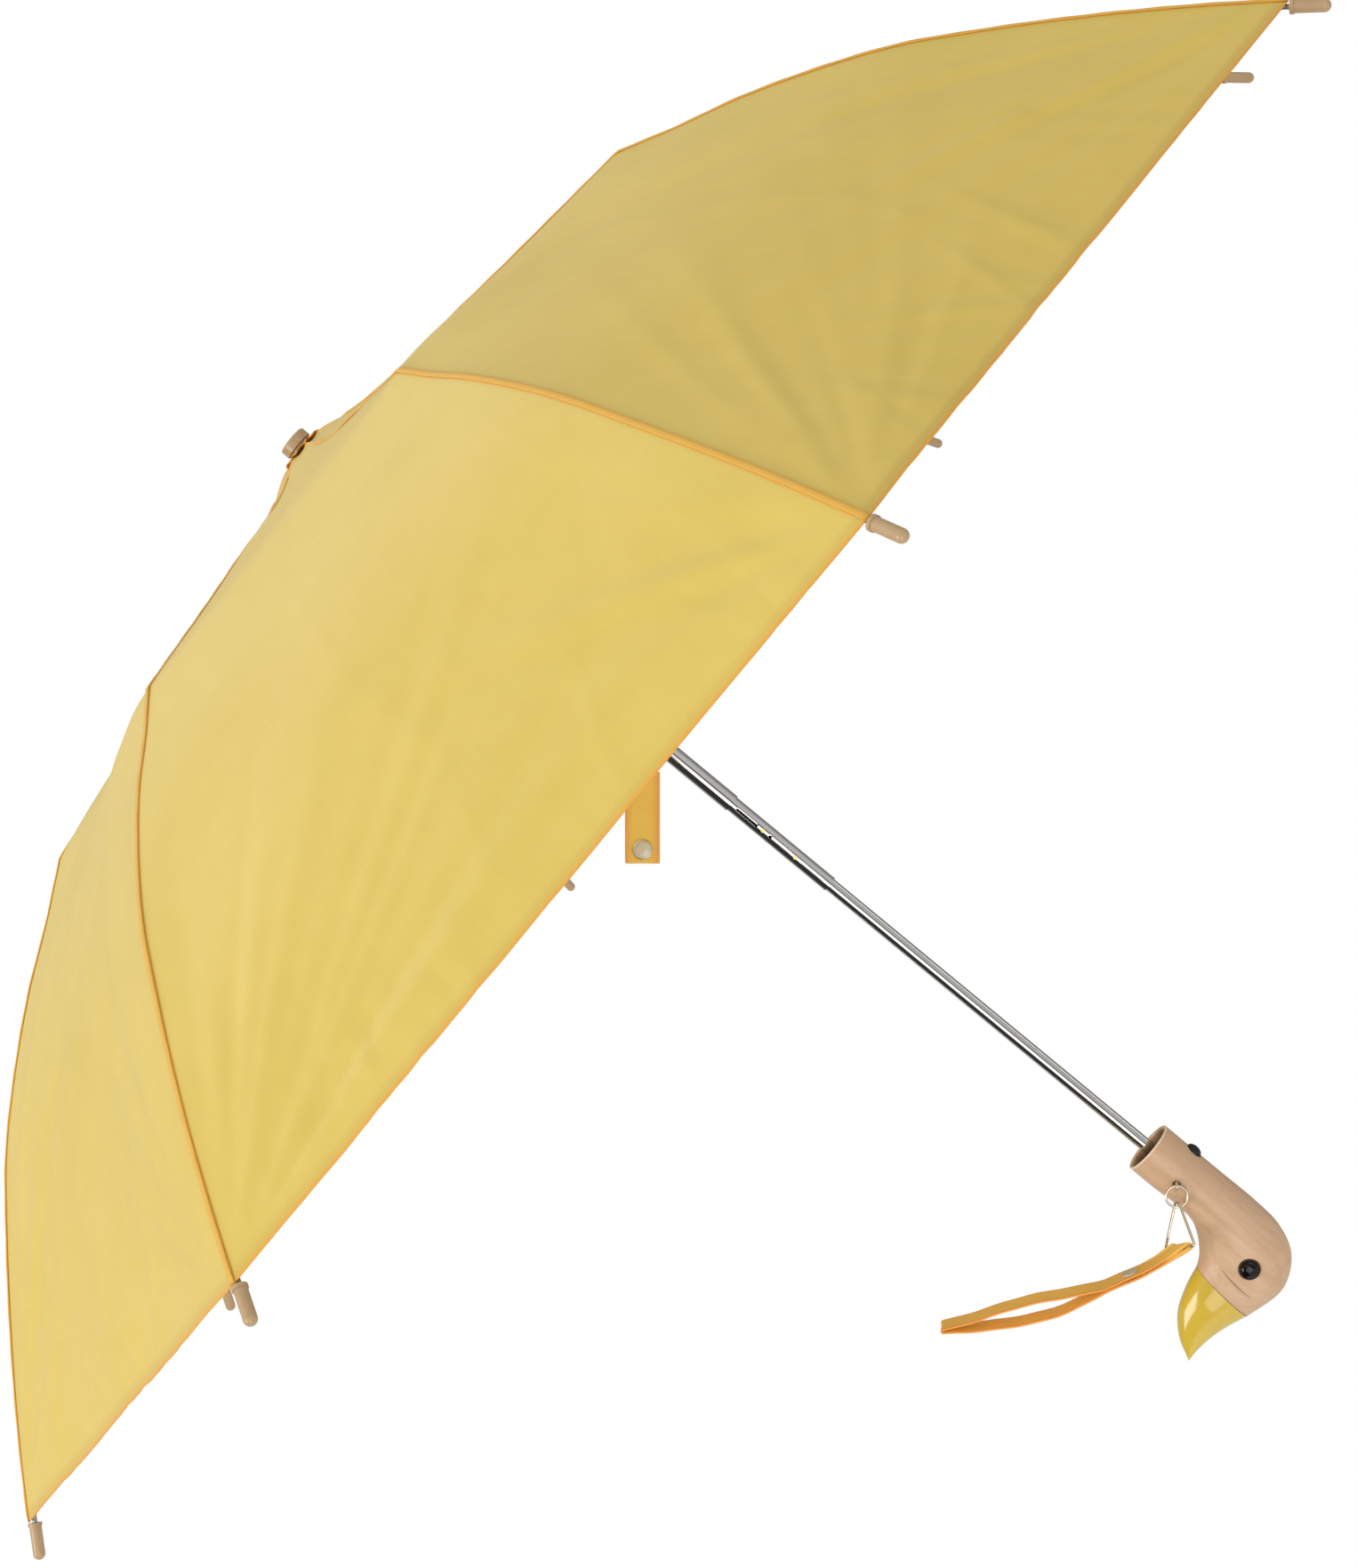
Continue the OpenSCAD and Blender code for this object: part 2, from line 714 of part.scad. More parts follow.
module wrist_strap() {
    wrap = [for (a = [30:30:150]) let (
        out = cos(a) * strap_out(0) + sin(a) * strap_heading(0)
    ) [strap_line(0) - BAR_ROOM * out, -out, strap_across(0)]];
    stations = concat(
        [for (i = [0:STRAP_STEPS]) strap_station(i / STRAP_STEPS, 1)],
        [[strap_line(1) + 0.8 * strap_heading(1), strap_heading(1), strap_across(1)]],
        [for (i = [STRAP_STEPS:-1:0]) strap_station(i / STRAP_STEPS, -1)],
        wrap
    );
    n = len(stations);
    points = [for (s = stations, c = [[-1, -1], [1, -1], [1, 1], [-1, 1]])
        s[0] + s[2] * c.x * strap_w / 2 + s[1] * c.y * strap_t / 2];
    color("orange")
        polyhedron(points, [for (i = [0:n - 1], c = [0:3]) let (
            a = i * 4 + c, b = i * 4 + (c + 1) % 4,
            d = ((i + 1) % n) * 4 + c, e = ((i + 1) % n) * 4 + (c + 1) % 4
        ) each [[a, b, d], [b, e, d]]]);
}

module strap_snap() {
    u = 0.28;
    out = strap_out(u);
    color("ivory")
        translate(strap_line(u) - out * (strap_half_gap(u) + strap_t / 2 + 0.9))
            rotate([0, acos(out.z), atan2(out.y, out.x)])
                cylinder(r = 3.6, h = 0.8);
}

// The closure strap's frame: x across it, y through it, z up it
module on_closure() {
    side = unit(cross(closure_dir, [0, 1, 0]));
    face = cross(side, -closure_dir);
    multmatrix([
        [side.x, face.x, -closure_dir.x, closure_top.x],
        [side.y, face.y, -closure_dir.y, closure_top.y],
        [side.z, face.z, -closure_dir.z, closure_top.z],
        [0, 0, 0, 1]
    ])
        children();
}

module closure_strap() {
    color("gold")
        on_closure()
            difference() {
                translate([-closure_w / 2, -strap_t / 2, -closure_len])
                    cube([closure_w, strap_t, closure_len]);
                translate([0, 0, snap_r + 2.5 - closure_len])
                    rotate([90, 0, 0])
                        cylinder(r = 1.2, h = 4, center = true);
            }
}

module closure_snap() {
    color("ivory")
        on_closure()
            translate([0, 0, snap_r + 2.5 - closure_len])
                rotate([90, 0, 0]) {
                    cylinder(r = 1.2, h = strap_t + 0.4, center = true);
                    for (side = [-1, 1])
                        translate([0, 0, side * (strap_t / 2 + 0.9)])
                            cylinder(r = snap_r, h = 1.4, center = true);
                }
}

handle();
beak();
eyes();
strap_eyelet();
press_button();
lower_tube();
middle_tube();
catch_pins();
upper_tube();
crown();
finial();
rosette();
canopy();
runner();
closure_strap();
closure_snap();
split_ring();
triangle_link();
wrist_strap();
strap_snap();
for (k = [1:rib_count]) {
    top_rib(k);
    mid_rib(k);
    outer_rib(k);
    rib_tip(k);
    stretcher(k);
}
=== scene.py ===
"""A children's folding umbrella with a duck-head handle: everything that shows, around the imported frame.
Shapes are worked out in millimetres and put into their meshes in metres."""
import json
import math

import bpy
import numpy as np
from mathutils import Matrix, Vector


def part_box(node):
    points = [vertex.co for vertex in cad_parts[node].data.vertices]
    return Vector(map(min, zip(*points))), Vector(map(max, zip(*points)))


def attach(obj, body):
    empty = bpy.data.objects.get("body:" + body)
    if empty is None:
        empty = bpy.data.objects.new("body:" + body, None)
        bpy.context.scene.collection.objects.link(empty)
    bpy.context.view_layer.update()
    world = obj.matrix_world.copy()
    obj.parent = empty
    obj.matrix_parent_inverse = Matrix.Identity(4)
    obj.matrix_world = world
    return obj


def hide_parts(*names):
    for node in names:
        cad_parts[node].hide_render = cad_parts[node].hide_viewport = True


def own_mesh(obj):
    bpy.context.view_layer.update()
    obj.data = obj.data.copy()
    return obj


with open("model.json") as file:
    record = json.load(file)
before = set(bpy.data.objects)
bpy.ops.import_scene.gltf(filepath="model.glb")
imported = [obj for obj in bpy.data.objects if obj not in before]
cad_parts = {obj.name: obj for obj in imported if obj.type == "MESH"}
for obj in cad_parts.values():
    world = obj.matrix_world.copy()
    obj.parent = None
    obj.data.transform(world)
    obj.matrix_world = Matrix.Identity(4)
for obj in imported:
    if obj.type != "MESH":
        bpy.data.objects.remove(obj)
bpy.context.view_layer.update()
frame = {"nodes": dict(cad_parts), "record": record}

MM = 0.001
ROUND_COLS = 64
RIBS = 8
FIRST_RIB = 22.5
BODY_OF = {node: body for body, nodes in frame["record"]["behaviour"]["bodies"].items() for node in nodes}


# -------- camera

def placed(name, data, axes, place):
    """A new object for this data, with its own three axes turned to these and its origin at this place."""
    item = bpy.data.objects.new(name, data)
    bpy.context.scene.collection.objects.link(item)
    item.matrix_world = Matrix([(*(axis[i] for axis in axes), place[i]) for i in range(3)] + [(0, 0, 0, 1)])
    return item


def make_camera():
    """The camera's three axes are given in the frame: right, up and back."""
    right = (0.62927067, 0.09647586, -0.77117497)
    up = (0.75786345, 0.14371429, 0.63638762)
    back = (0.17222491, -0.98490538, 0.01731965)
    place = (0.226632, -1.344402, 0.285222)
    data = bpy.data.cameras.new("studio_camera")
    data.sensor_width = 36
    data.lens = 71.147
    data.clip_start, data.clip_end = 0.05, 30
    bpy.context.scene.camera = placed("studio_camera", data, (right, up, back), place)


make_camera()


# -------- small geometry helpers

def unit(v):
    v = np.asarray(v, float)
    return v / np.linalg.norm(v, axis=-1, keepdims=True)


def round_angles(count):
    """Evenly spaced angles once round a circle, from 0."""
    return np.linspace(0, 2 * np.pi, count, endpoint=False)


def smooth_step(x, low, high):
    """0 below low, 1 above high, and a smooth cubic rise between them."""
    t = np.clip((x - low) / (high - low), 0, 1)
    return t * t * (3 - 2 * t)


def through(points, at):
    """A Catmull-Rom curve through the points; at counts points, so 1.5 is half way from the second to the third."""
    v = np.asarray(points, float)
    last = len(v) - 1
    i = np.clip(np.floor(at).astype(int), 0, last - 1)
    s = (at - i)[:, None] if v.ndim > 1 else at - i
    a, b, c, d = v[np.maximum(i - 1, 0)], v[i], v[i + 1], v[np.minimum(i + 2, last)]
    return (2 * b + (c - a) * s + (2 * a - 5 * b + 4 * c - d) * s**2 + (3 * b - a - 3 * c + d) * s**3) / 2


def grid_faces(rows, cols, round_rows=False, round_cols=False):
    """Four-cornered faces of a grid of rows x cols points, closed on itself where it goes round."""
    i = np.arange(rows if round_rows else rows - 1)[:, None]
    j = np.arange(cols if round_cols else cols - 1)[None, :]
    i2, j2 = (i + 1) % rows, (j + 1) % cols
    i, j, i2, j2 = np.broadcast_arrays(i, j, i2, j2)
    return np.stack([i * cols + j, i * cols + j2, i2 * cols + j2, i2 * cols + j], -1).reshape(-1, 4)


def fan_faces(pole, start, cols, turned=False):
    """Triangles from a pole to a closed ring of points that begins at start."""
    j = np.arange(cols)
    ring = [start + j, start + (j + 1) % cols]
    if turned:
        ring.reverse()
    return np.stack([np.full(cols, pole), *ring], -1)


def faced_out(points, faces, normals):
    """The faces, all turned round if they look inwards: judged by the given normals on a sheet, and by the volume it
    holds on a closed shell."""
    a, b, c = (points[np.concatenate([f[:, i] for f in faces])] for i in (0, 1, 2))
    across = np.cross(b - a, c - a)
    if normals is None:
        d = points[np.concatenate([f[:, -1] for f in faces])]
        looks_out = (across * (a - points.mean(0))).sum() + (np.cross(c - a, d - a) * (a - points.mean(0))).sum() > 0
    else:
        looks_out = (across * normals[np.concatenate([f[:, 0] for f in faces])]).sum() > 0
    return faces if looks_out else [f[:, ::-1] for f in faces]


def mesh_piece(name, points, faces, material, maps=None, values=None, normals=None):
    """A smooth mesh object at the origin. maps are UV maps and values are point attributes, both given per point."""
    mesh = bpy.data.meshes.new(name)
    points = np.asarray(points, float).reshape(-1, 3)
    normals = None if normals is None else np.asarray(normals, float).reshape(-1, 3)
    faces = faced_out(points, faces, normals)
    mesh.from_pydata((points * MM).tolist(), [], [f for part in faces for f in part.tolist()])
    mesh.polygons.foreach_set("use_smooth", np.ones(len(mesh.polygons), bool))
    corner = np.empty(len(mesh.loops), np.int32)
    mesh.loops.foreach_get("vertex_index", corner)
    for key, pairs in (maps or {}).items():
        at_corners = np.asarray(pairs, np.float32).reshape(-1, 2)[corner]
        mesh.uv_layers.new(name=key).data.foreach_set("uv", at_corners.ravel())
    for key, numbers in (values or {}).items():
        flat = np.asarray(numbers, np.float32).ravel()
        mesh.attributes.new(key, "FLOAT", "POINT").data.foreach_set("value", flat)
    mesh.materials.append(material)
    mesh.update()
    if normals is not None:
        mesh.normals_split_custom_set_from_vertices(normals.tolist())
    piece = bpy.data.objects.new(name, mesh)
    bpy.context.scene.collection.objects.link(piece)
    return piece


def closed_loft(name, rings, material, maps=None, values=None):
    """A skin over rings of points, rows x cols x 3, each end drawn together to a pole in the middle of its ring."""
    rows, cols = rings.shape[:2]

    def with_poles(per_point):
        grid = np.asarray(per_point, float).reshape(rows, cols, -1)
        return np.vstack([grid.reshape(rows * cols, -1), grid[0].mean(0), grid[-1].mean(0)])

    faces = [grid_faces(rows, cols, round_cols=True), fan_faces(rows * cols, 0, cols, True),
             fan_faces(rows * cols + 1, (rows - 1) * cols, cols)]
    return mesh_piece(name, with_poles(rings), faces, material, {k: with_poles(v) for k, v in (maps or {}).items()},
                      {k: with_poles(v) for k, v in (values or {}).items()})


def axes_for(direction):
    """Two directions square to the given one."""
    w = unit(direction)
    u = unit(np.cross(w, (0, 0, 1) if abs(w[2]) < 0.9 else (1, 0, 0)))
    return u, np.cross(w, u), w


def turned_piece(name, profile, at, direction, material):
    """A profile of (radius, height) points turned round an axis. The profile starts and ends near the axis."""
    u, v, w = axes_for(direction)
    angle = round_angles(ROUND_COLS)
    p = np.asarray(profile, float)
    around = np.cos(angle)[:, None] * u + np.sin(angle)[:, None] * v
    rings = np.asarray(at, float) + p[:, None, :1] * around[None] + p[:, None, 1:] * w
    return closed_loft(name, rings, material)


def arc(cx, cy, r, start, stop, steps):
    """Points (x, y) along a circle from one angle to another, in degrees."""
    a = np.radians(np.linspace(start, stop, steps))
    return np.stack([cx + r * np.cos(a), cy + r * np.sin(a)], -1)


# -------- shader helpers and shared effects

def put(tree, kind, inputs=None, **settings):
    """A node with its settings and inputs; an input that is a socket is linked."""
    made = tree.nodes.new("ShaderNode" + kind)
    for key, value in settings.items():
        setattr(made, key, value)
    for key, value in (inputs or {}).items():
        if isinstance(value, bpy.types.NodeSocket):
            tree.links.new(value, made.inputs[key])
        else:
            made.inputs[key].default_value = value
    return made


def maths(tree, operation, *values):
    return put(tree, "Math", dict(enumerate(values)), operation=operation).outputs[0]


def plus(tree, a, b):
    return maths(tree, "ADD", a, b)


def times(tree, a, b):
    return maths(tree, "MULTIPLY", a, b)


def minus(tree, a, b):
    return maths(tree, "SUBTRACT", a, b)


def blended(tree, factor, a, b):
    """Colour a where the factor is 0, and colour b where it is 1."""
    return put(tree, "Mix", {0: factor, 6: a, 7: b}, data_type="RGBA").outputs[2]


def ranged(tree, value, low, high, to_low=0.0, to_high=1.0):
    return put(tree, "MapRange", {0: value, 1: low, 2: high, 3: to_low, 4: to_high}).outputs[0]


def noise(tree, vector, scale, detail, **more):
    return put(tree, "TexNoise", {"Vector": vector, "Scale": scale, "Detail": detail, **more}).outputs[0]


def scaled(tree, vector, scale):
    """A place with each axis scaled, which draws a texture out along an axis whose scale is small."""
    return put(tree, "Mapping", {0: vector, 3: scale}).outputs[0]


def parted(tree, vector):
    return put(tree, "SeparateXYZ", {0: vector}).outputs


def effect(name, inputs, outputs, build):
    """A shared shader effect. build(tree, source) returns its output sockets in order."""
    group = bpy.data.node_groups.new(name, "ShaderNodeTree")
    kinds = {"v": "NodeSocketVector", "f": "NodeSocketFloat", "c": "NodeSocketColor"}
    for key, kind, default in inputs:
        socket = group.interface.new_socket(name=key, in_out="INPUT", socket_type=kinds[kind])
        if default is not None:
            socket.default_value = default
    for key, kind in outputs:
        group.interface.new_socket(name=key, in_out="OUTPUT", socket_type=kinds[kind])
    source = group.nodes.new("NodeGroupInput").outputs
    sink = group.nodes.new("NodeGroupOutput").inputs
    for i, socket in enumerate(build(group, source)):
        group.links.new(socket, sink[i])
    return group


def use(tree, group, inputs):
    """Places a shared effect in a material and gives its outputs."""
    return put(tree, "Group", inputs, node_tree=group).outputs


def build_mottle(tree, source):
    """Soft uneven tone: two sizes of noise added together, from 0 to 1."""
    broad = noise(tree, source["Vector"], source["Scale"], 4.0, Roughness=0.55)
    fine = noise(tree, source["Vector"], times(tree, source["Scale"], 7.3), 3.0)
    return [ranged(tree, plus(tree, times(tree, broad, 0.7), times(tree, fine, 0.3)), 0.3, 0.7)]


def build_weave(tree, source):
    """Plain weave: a chequer of threads over and under, as the product of two sines across and along the cloth."""
    part = parted(tree, source["Place"])
    turn = maths(tree, "DIVIDE", math.pi, source["Thread"])
    waves = [maths(tree, "SINE", times(tree, part[i], turn)) for i in (0, 1)]
    height = maths(tree, "MULTIPLY_ADD", times(tree, *waves), 0.5, 0.5)
    return [height, noise(tree, scaled(tree, source["Place"], (1.0, 0.02, 1.0)), 900.0, 1.0)]


def build_stitches(tree, source):
    """A row of stitches: 1 on a thread, within half its width of the row and for most of each pitch along it."""
    near = maths(tree, "LESS_THAN", maths(tree, "ABSOLUTE", source["Across"]), times(tree, source["Width"], 0.5))
    pitches = maths(tree, "DIVIDE", source["Along"], source["Pitch"])
    return [times(tree, near, maths(tree, "LESS_THAN", maths(tree, "FRACT", pitches), 0.74))]


def build_grain(tree, source):
    """Wood grain along Z: broad streaks, fine fibres and short dark pores, all from stretched noise."""
    long_grain = scaled(tree, source["Vector"], (1.0, 1.0, 0.07))
    streak = noise(tree, long_grain, 190.0, 5.0, Roughness=0.6, Distortion=0.6)
    fibre = noise(tree, long_grain, 1500.0, 3.0, Roughness=0.7)
    pore = noise(tree, scaled(tree, source["Vector"], (1.0, 1.0, 0.16)), 2600.0, 1.0)
    pores = ranged(tree, pore, 0.66, 0.74)
    tone = plus(tree, times(tree, ranged(tree, streak, 0.3, 0.7), 0.6), times(tree, fibre, 0.4))
    return [tone, pores, minus(tree, times(tree, fibre, 0.5), times(tree, pores, 0.6))]


def build_handling(tree, source):
    """Handling marks: rub marks from stretched noise and faint specks, as a change of roughness and a height."""
    rub = noise(tree, scaled(tree, source["Vector"], (1.0, 1.0, 0.12)), source["Scale"], 5.0, Roughness=0.65)
    speck = noise(tree, source["Vector"], times(tree, source["Scale"], 6.0), 2.0)
    return [maths(tree, "MULTIPLY_ADD", ranged(tree, rub, 0.35, 0.7), source["Spread"], source["Base"]), speck]


PLACE = ("Vector", "v", None)
MOTTLE = effect("mottle", [PLACE, ("Scale", "f", 20.0)], [("Tone", "f")], build_mottle)
WEAVE = effect("plain_weave", [("Place", "v", None), ("Thread", "f", 0.0003)],
               [("Height", "f"), ("Slub", "f")], build_weave)
STITCHES = effect("stitch_row", [("Along", "f", 0.0), ("Across", "f", 0.0), ("Pitch", "f", 0.0024),
                                 ("Width", "f", 0.0005)], [("Mask", "f")], build_stitches)
GRAIN = effect("wood_grain", [PLACE], [("Tone", "f"), ("Pores", "f"), ("Height", "f")], build_grain)
HANDLING = effect("handling_marks", [PLACE, ("Scale", "f", 200.0), ("Base", "f", 0.2), ("Spread", "f", 0.1)],
                  [("Roughness", "f"), ("Speck", "f")], build_handling)


def colour(hex_code):
    """A display colour such as DEC668 as the linear colour that a socket takes."""
    parts = [int(hex_code[i:i + 2], 16) / 255 for i in (0, 2, 4)]
    return tuple(c / 12.92 if c < 0.04045 else ((c + 0.055) / 1.055) ** 2.4 for c in parts) + (1.0,)


def surface(name, inputs):
    """A new material: its node tree and its Principled shader with these inputs."""
    material = bpy.data.materials.new(name)
    material.use_nodes = True
    tree = material.node_tree
    skin = tree.nodes["Principled BSDF"]
    for key, value in inputs.items():
        skin.inputs[key].default_value = value
    return material, tree, skin


def wire_in(tree, skin, **sockets):
    for key, value in sockets.items():
        tree.links.new(value, skin.inputs[key.replace("_", " ")])


def bumped(tree, height, distance, strength=1.0):
    return put(tree, "Bump", {"Height": height, "Distance": distance, "Strength": strength}).outputs[0]


def object_place(tree):
    return put(tree, "TexCoord").outputs["Object"]


def let_through(tree, skin, base, share):
    """Lets a share of the light from behind through thin cloth."""
    glow = put(tree, "BsdfTranslucent", {"Color": base}).outputs[0]
    mix = put(tree, "MixShader", {0: share, 1: skin.outputs[0], 2: glow}).outputs[0]
    tree.links.new(mix, tree.nodes["Material Output"].inputs[0])


def map_place(tree, name):
    return put(tree, "UVMap", uv_map=name).outputs[0]


def make_cloth(name, main, warm, see_through):
    """Thin woven cloth. Map cloth holds metres across and along; map edges holds metres from the nearest seam and from
    the hem's edge."""
    sheen = {"Sheen Weight": 0.12, "Sheen Roughness": 0.4}
    material, tree, skin = surface(name, {"Roughness": 0.5, "Specular IOR Level": 0.42, **sheen})
    cloth = map_place(tree, "cloth")
    edges = parted(tree, map_place(tree, "edges"))
    weave = use(tree, WEAVE, {"Place": cloth, "Thread": 0.00032})
    tone = use(tree, MOTTLE, {"Vector": object_place(tree), "Scale": 9.0})[0]
    hem = ranged(tree, edges[1], 0.0036, 0.0044, 1.0, 0.0)
    edge = ranged(tree, edges[1], 0.0005, 0.0014, 1.0, 0.0)
    seam = ranged(tree, edges[0], 0.0010, 0.0022, 1.0, 0.0)
    off_row = minus(tree, edges[1], 0.0034)
    along = parted(tree, cloth)[0]
    rows = use(tree, STITCHES, {"Along": along, "Across": off_row, "Pitch": 0.0026, "Width": 0.0005})[0]
    base = blended(tree, tone, colour(main[0]), colour(main[1]))
    base = blended(tree, times(tree, weave[1], 0.25), base, colour(main[2]))
    double = plus(tree, times(tree, hem, 0.06), times(tree, maths(tree, "MAXIMUM", edge, seam), 0.7))
    base = blended(tree, maths(tree, "MINIMUM", double, 0.9), base, colour(warm))
    base = blended(tree, times(tree, rows, 0.35), base, colour("E8CF7C"))
    rough = maths(tree, "MULTIPLY_ADD", weave[0], 0.12, 0.42)
    height = plus(tree, times(tree, weave[0], 0.4), rows)
    wire_in(tree, skin, Base_Color=base, Roughness=rough, Normal=bumped(tree, height, 0.00006, 0.5))
    let_through(tree, skin, base, see_through)
    return material


def make_ribbon(name, main, edge, width, see_through, edge_width=0.0022):
    """Sewn strap: cloth folded to a band, with warm folded edges and a row of stitches inside each of them."""
    material, tree, skin = surface(name, {"Specular IOR Level": 0.35, "Sheen Weight": 0.05, "Sheen Roughness": 0.4})
    cloth = map_place(tree, "cloth")
    part = parted(tree, cloth)
    weave = use(tree, WEAVE, {"Place": cloth, "Thread": 0.0004})
    tone = use(tree, MOTTLE, {"Vector": object_place(tree), "Scale": 60.0})[0]
    off = maths(tree, "ABSOLUTE", part[0])
    border = ranged(tree, off, width * 0.5 - edge_width, width * 0.5 - 0.3 * edge_width)
    off_row = minus(tree, off, width * 0.5 - 0.0024)
    rows = use(tree, STITCHES, {"Along": part[1], "Across": off_row, "Pitch": 0.0026, "Width": 0.0006})[0]
    base = blended(tree, tone, colour(main[0]), colour(main[1]))
    base = blended(tree, times(tree, border, 0.85), base, colour(edge))
    base = blended(tree, times(tree, rows, 0.45), base, colour("F7DF95"))
    rough = maths(tree, "MULTIPLY_ADD", weave[0], 0.12, 0.55)
    height = plus(tree, times(tree, weave[0], 0.4), rows)
    wire_in(tree, skin, Base_Color=base, Roughness=rough, Normal=bumped(tree, height, 0.00004, 0.35))
    let_through(tree, skin, base, see_through)
    return material


def make_wood():
    """Pale satin wood with its grain along the shaft. One attribute paints shade into the inside of the mouth, the
    mouth line's groove and the seats of eye, button and eyelet, and darkens the joint line at the beak; the rim
    attribute lightens the bevel."""
    material, tree, skin = surface("pale_beech", {"Coat Weight": 0.3, "Coat Roughness": 0.25,
                                                  "Specular IOR Level": 0.4})
    place = object_place(tree)
    grain = use(tree, GRAIN, {"Vector": place})
    tone = use(tree, MOTTLE, {"Vector": place, "Scale": 55.0})[0]
    # Painted shade inside the mouth, in the mouth line's groove and in the seats, plus the dark joint line at the beak
    painted_shade_and_joint = put(tree, "Attribute", attribute_name="painted_shade_and_joint").outputs["Fac"]
    rim = put(tree, "Attribute", attribute_name="rim").outputs["Fac"]
    base = blended(tree, grain[0], colour("B78F6C"), colour("D2B190"))
    base = blended(tree, times(tree, tone, 0.35), base, colour("C8A584"))
    base = blended(tree, times(tree, grain[1], 0.35), base, colour("8A6444"))
    base = blended(tree, rim, base, colour("EADBC8"))
    # 4A2F20 is both the painted shade colour and the joint line's colour
    base = blended(tree, painted_shade_and_joint, base, colour("4A2F20"))
    rough = maths(tree, "MULTIPLY_ADD", grain[0], 0.12, 0.4)
    wire_in(tree, skin, Base_Color=base, Roughness=rough, Normal=bumped(tree, grain[2], 0.00005, 0.5))
    return material


def make_solid(name, light, dark, base_rough, spread, marks=200.0, bump=0.00002, **inputs):
    """Plastic, enamel or metal: two close tones mottled together, with handling marks in its roughness and bump."""
    material, tree, skin = surface(name, {k.replace("_", " "): v for k, v in inputs.items()})
    place = object_place(tree)
    tone = use(tree, MOTTLE, {"Vector": place, "Scale": marks * 0.4})[0]
    rub = use(tree, HANDLING, {"Vector": place, "Scale": marks, "Base": base_rough, "Spread": spread})
    base = blended(tree, tone, colour(light), colour(dark))
    wire_in(tree, skin, Base_Color=base, Roughness=rub[0], Normal=bumped(tree, rub[1], bump, 0.4))
    return material


CANOPY_CLOTH = make_cloth("canopy_cloth", ("DCC160", "D3B853", "E3CC76"), "EDAA3C", 0.2)
SEAM_CLOTH = make_ribbon("seam_binding", ("E2B650", "DCAE48"), "E0A844", 0.004, 0.1)
WRIST_RIBBON = make_ribbon("wrist_ribbon", ("FFDC74", "FCD468"), "F8B05A", 0.014, 0.25)
CLOSURE_RIBBON = make_ribbon("closure_ribbon", ("FFE078", "FEDA6E"), "FCBC68", 0.02, 0.25, 0.0045)
WOOD = make_wood()
BEAK_GLOSS = make_solid("beak_lacquer", "CDB038", "C6A636", 0.16, 0.08, 120.0, Coat_Weight=0.8, Coat_Roughness=0.06)
EYE_GLASS = make_solid("eye_bead_black", "0A0808", "100B09", 0.05, 0.03, 300.0, 0.000001, Specular_IOR_Level=0.3)
EYE_SURROUND = make_solid("eye_rim_brown", "2A1810", "341E14", 0.35, 0.15, 300.0, Specular_IOR_Level=0.25)
NICKEL = make_solid("bright_nickel", "DCD5C4", "CCC4B2", 0.08, 0.08, 400.0, 0.0000005, Metallic=1.0)
CHROME = make_solid("shaft_chrome", "D2D0CC", "C9C7C2", 0.04, 0.05, 160.0, 0.0000005, Metallic=1.0)
RIB_STEEL = make_solid("plated_rib_steel", "A8A8A6", "96979A", 0.26, 0.15, 260.0, 0.000004, Metallic=1.0)
BRASS = make_solid("catch_brass", "D6CC82", "C2B66A", 0.22, 0.15, 400.0, Metallic=1.0)
BUTTON_RUBBER = make_solid("button_black", "1A1B1F", "151619", 0.36, 0.15, 300.0, 0.000005, Specular_IOR_Level=0.3)
DARK_PLASTIC = make_solid("runner_plastic", "2A2B2D", "232425", 0.4, 0.2, 180.0, 0.00003)
TAN_PLASTIC = make_solid("tan_cap_plastic", "B79A72", "AE8F66", 0.3, 0.15, 220.0, 0.00003,
                         Coat_Weight=0.25, Coat_Roughness=0.2)
PEARL = make_solid("snap_pearl", "DDD5C8", "CFC5B4", 0.2, 0.12, 300.0, Coat_Weight=0.7, Coat_Roughness=0.1)
FLOOR_PAINT = make_solid("studio_floor", "F4F4F4", "F1F1F0", 0.7, 0.1, 2.0)


# -------- the canopy

CROWN_EDGE = 30.0
WEDGES = 6
WEDGE_COLS = 16
GORE_COLS = WEDGES * WEDGE_COLS
ROW_STEP = 2.8
HEM_TURN = 4.0
HEM_BOW = 0.012
SEAM_HALF = 1.3
SLACK = 3.0
HEM_GAP = 0.7
RAY_CREASES = 14
HEM_CREASES = 26
SLACK_WAVES = 7


def rib_azimuth(k):
    """Azimuth of rib k, counted from 1, in degrees."""
    return FIRST_RIB + (k - 1) * 360 / RIBS


def read_ridge():
    """Radius and height of the canopy's upper skin along the first rib, in millimetres, from the CAD canopy."""
    mesh = frame["nodes"]["canopy"].data
    co = np.empty(len(mesh.vertices) * 3)
    mesh.vertices.foreach_get("co", co)
    x, y, z = (co.reshape(-1, 3) / MM).T
    on_rib = np.abs(np.degrees(np.arctan2(y, x)) - FIRST_RIB) < 0.05
    r, z = np.hypot(x, y)[on_rib], z[on_rib]
    radii = np.unique(r.round(2))
    top = np.array([z[np.abs(r - q) < 0.02].max() for q in radii])
    return radii, top


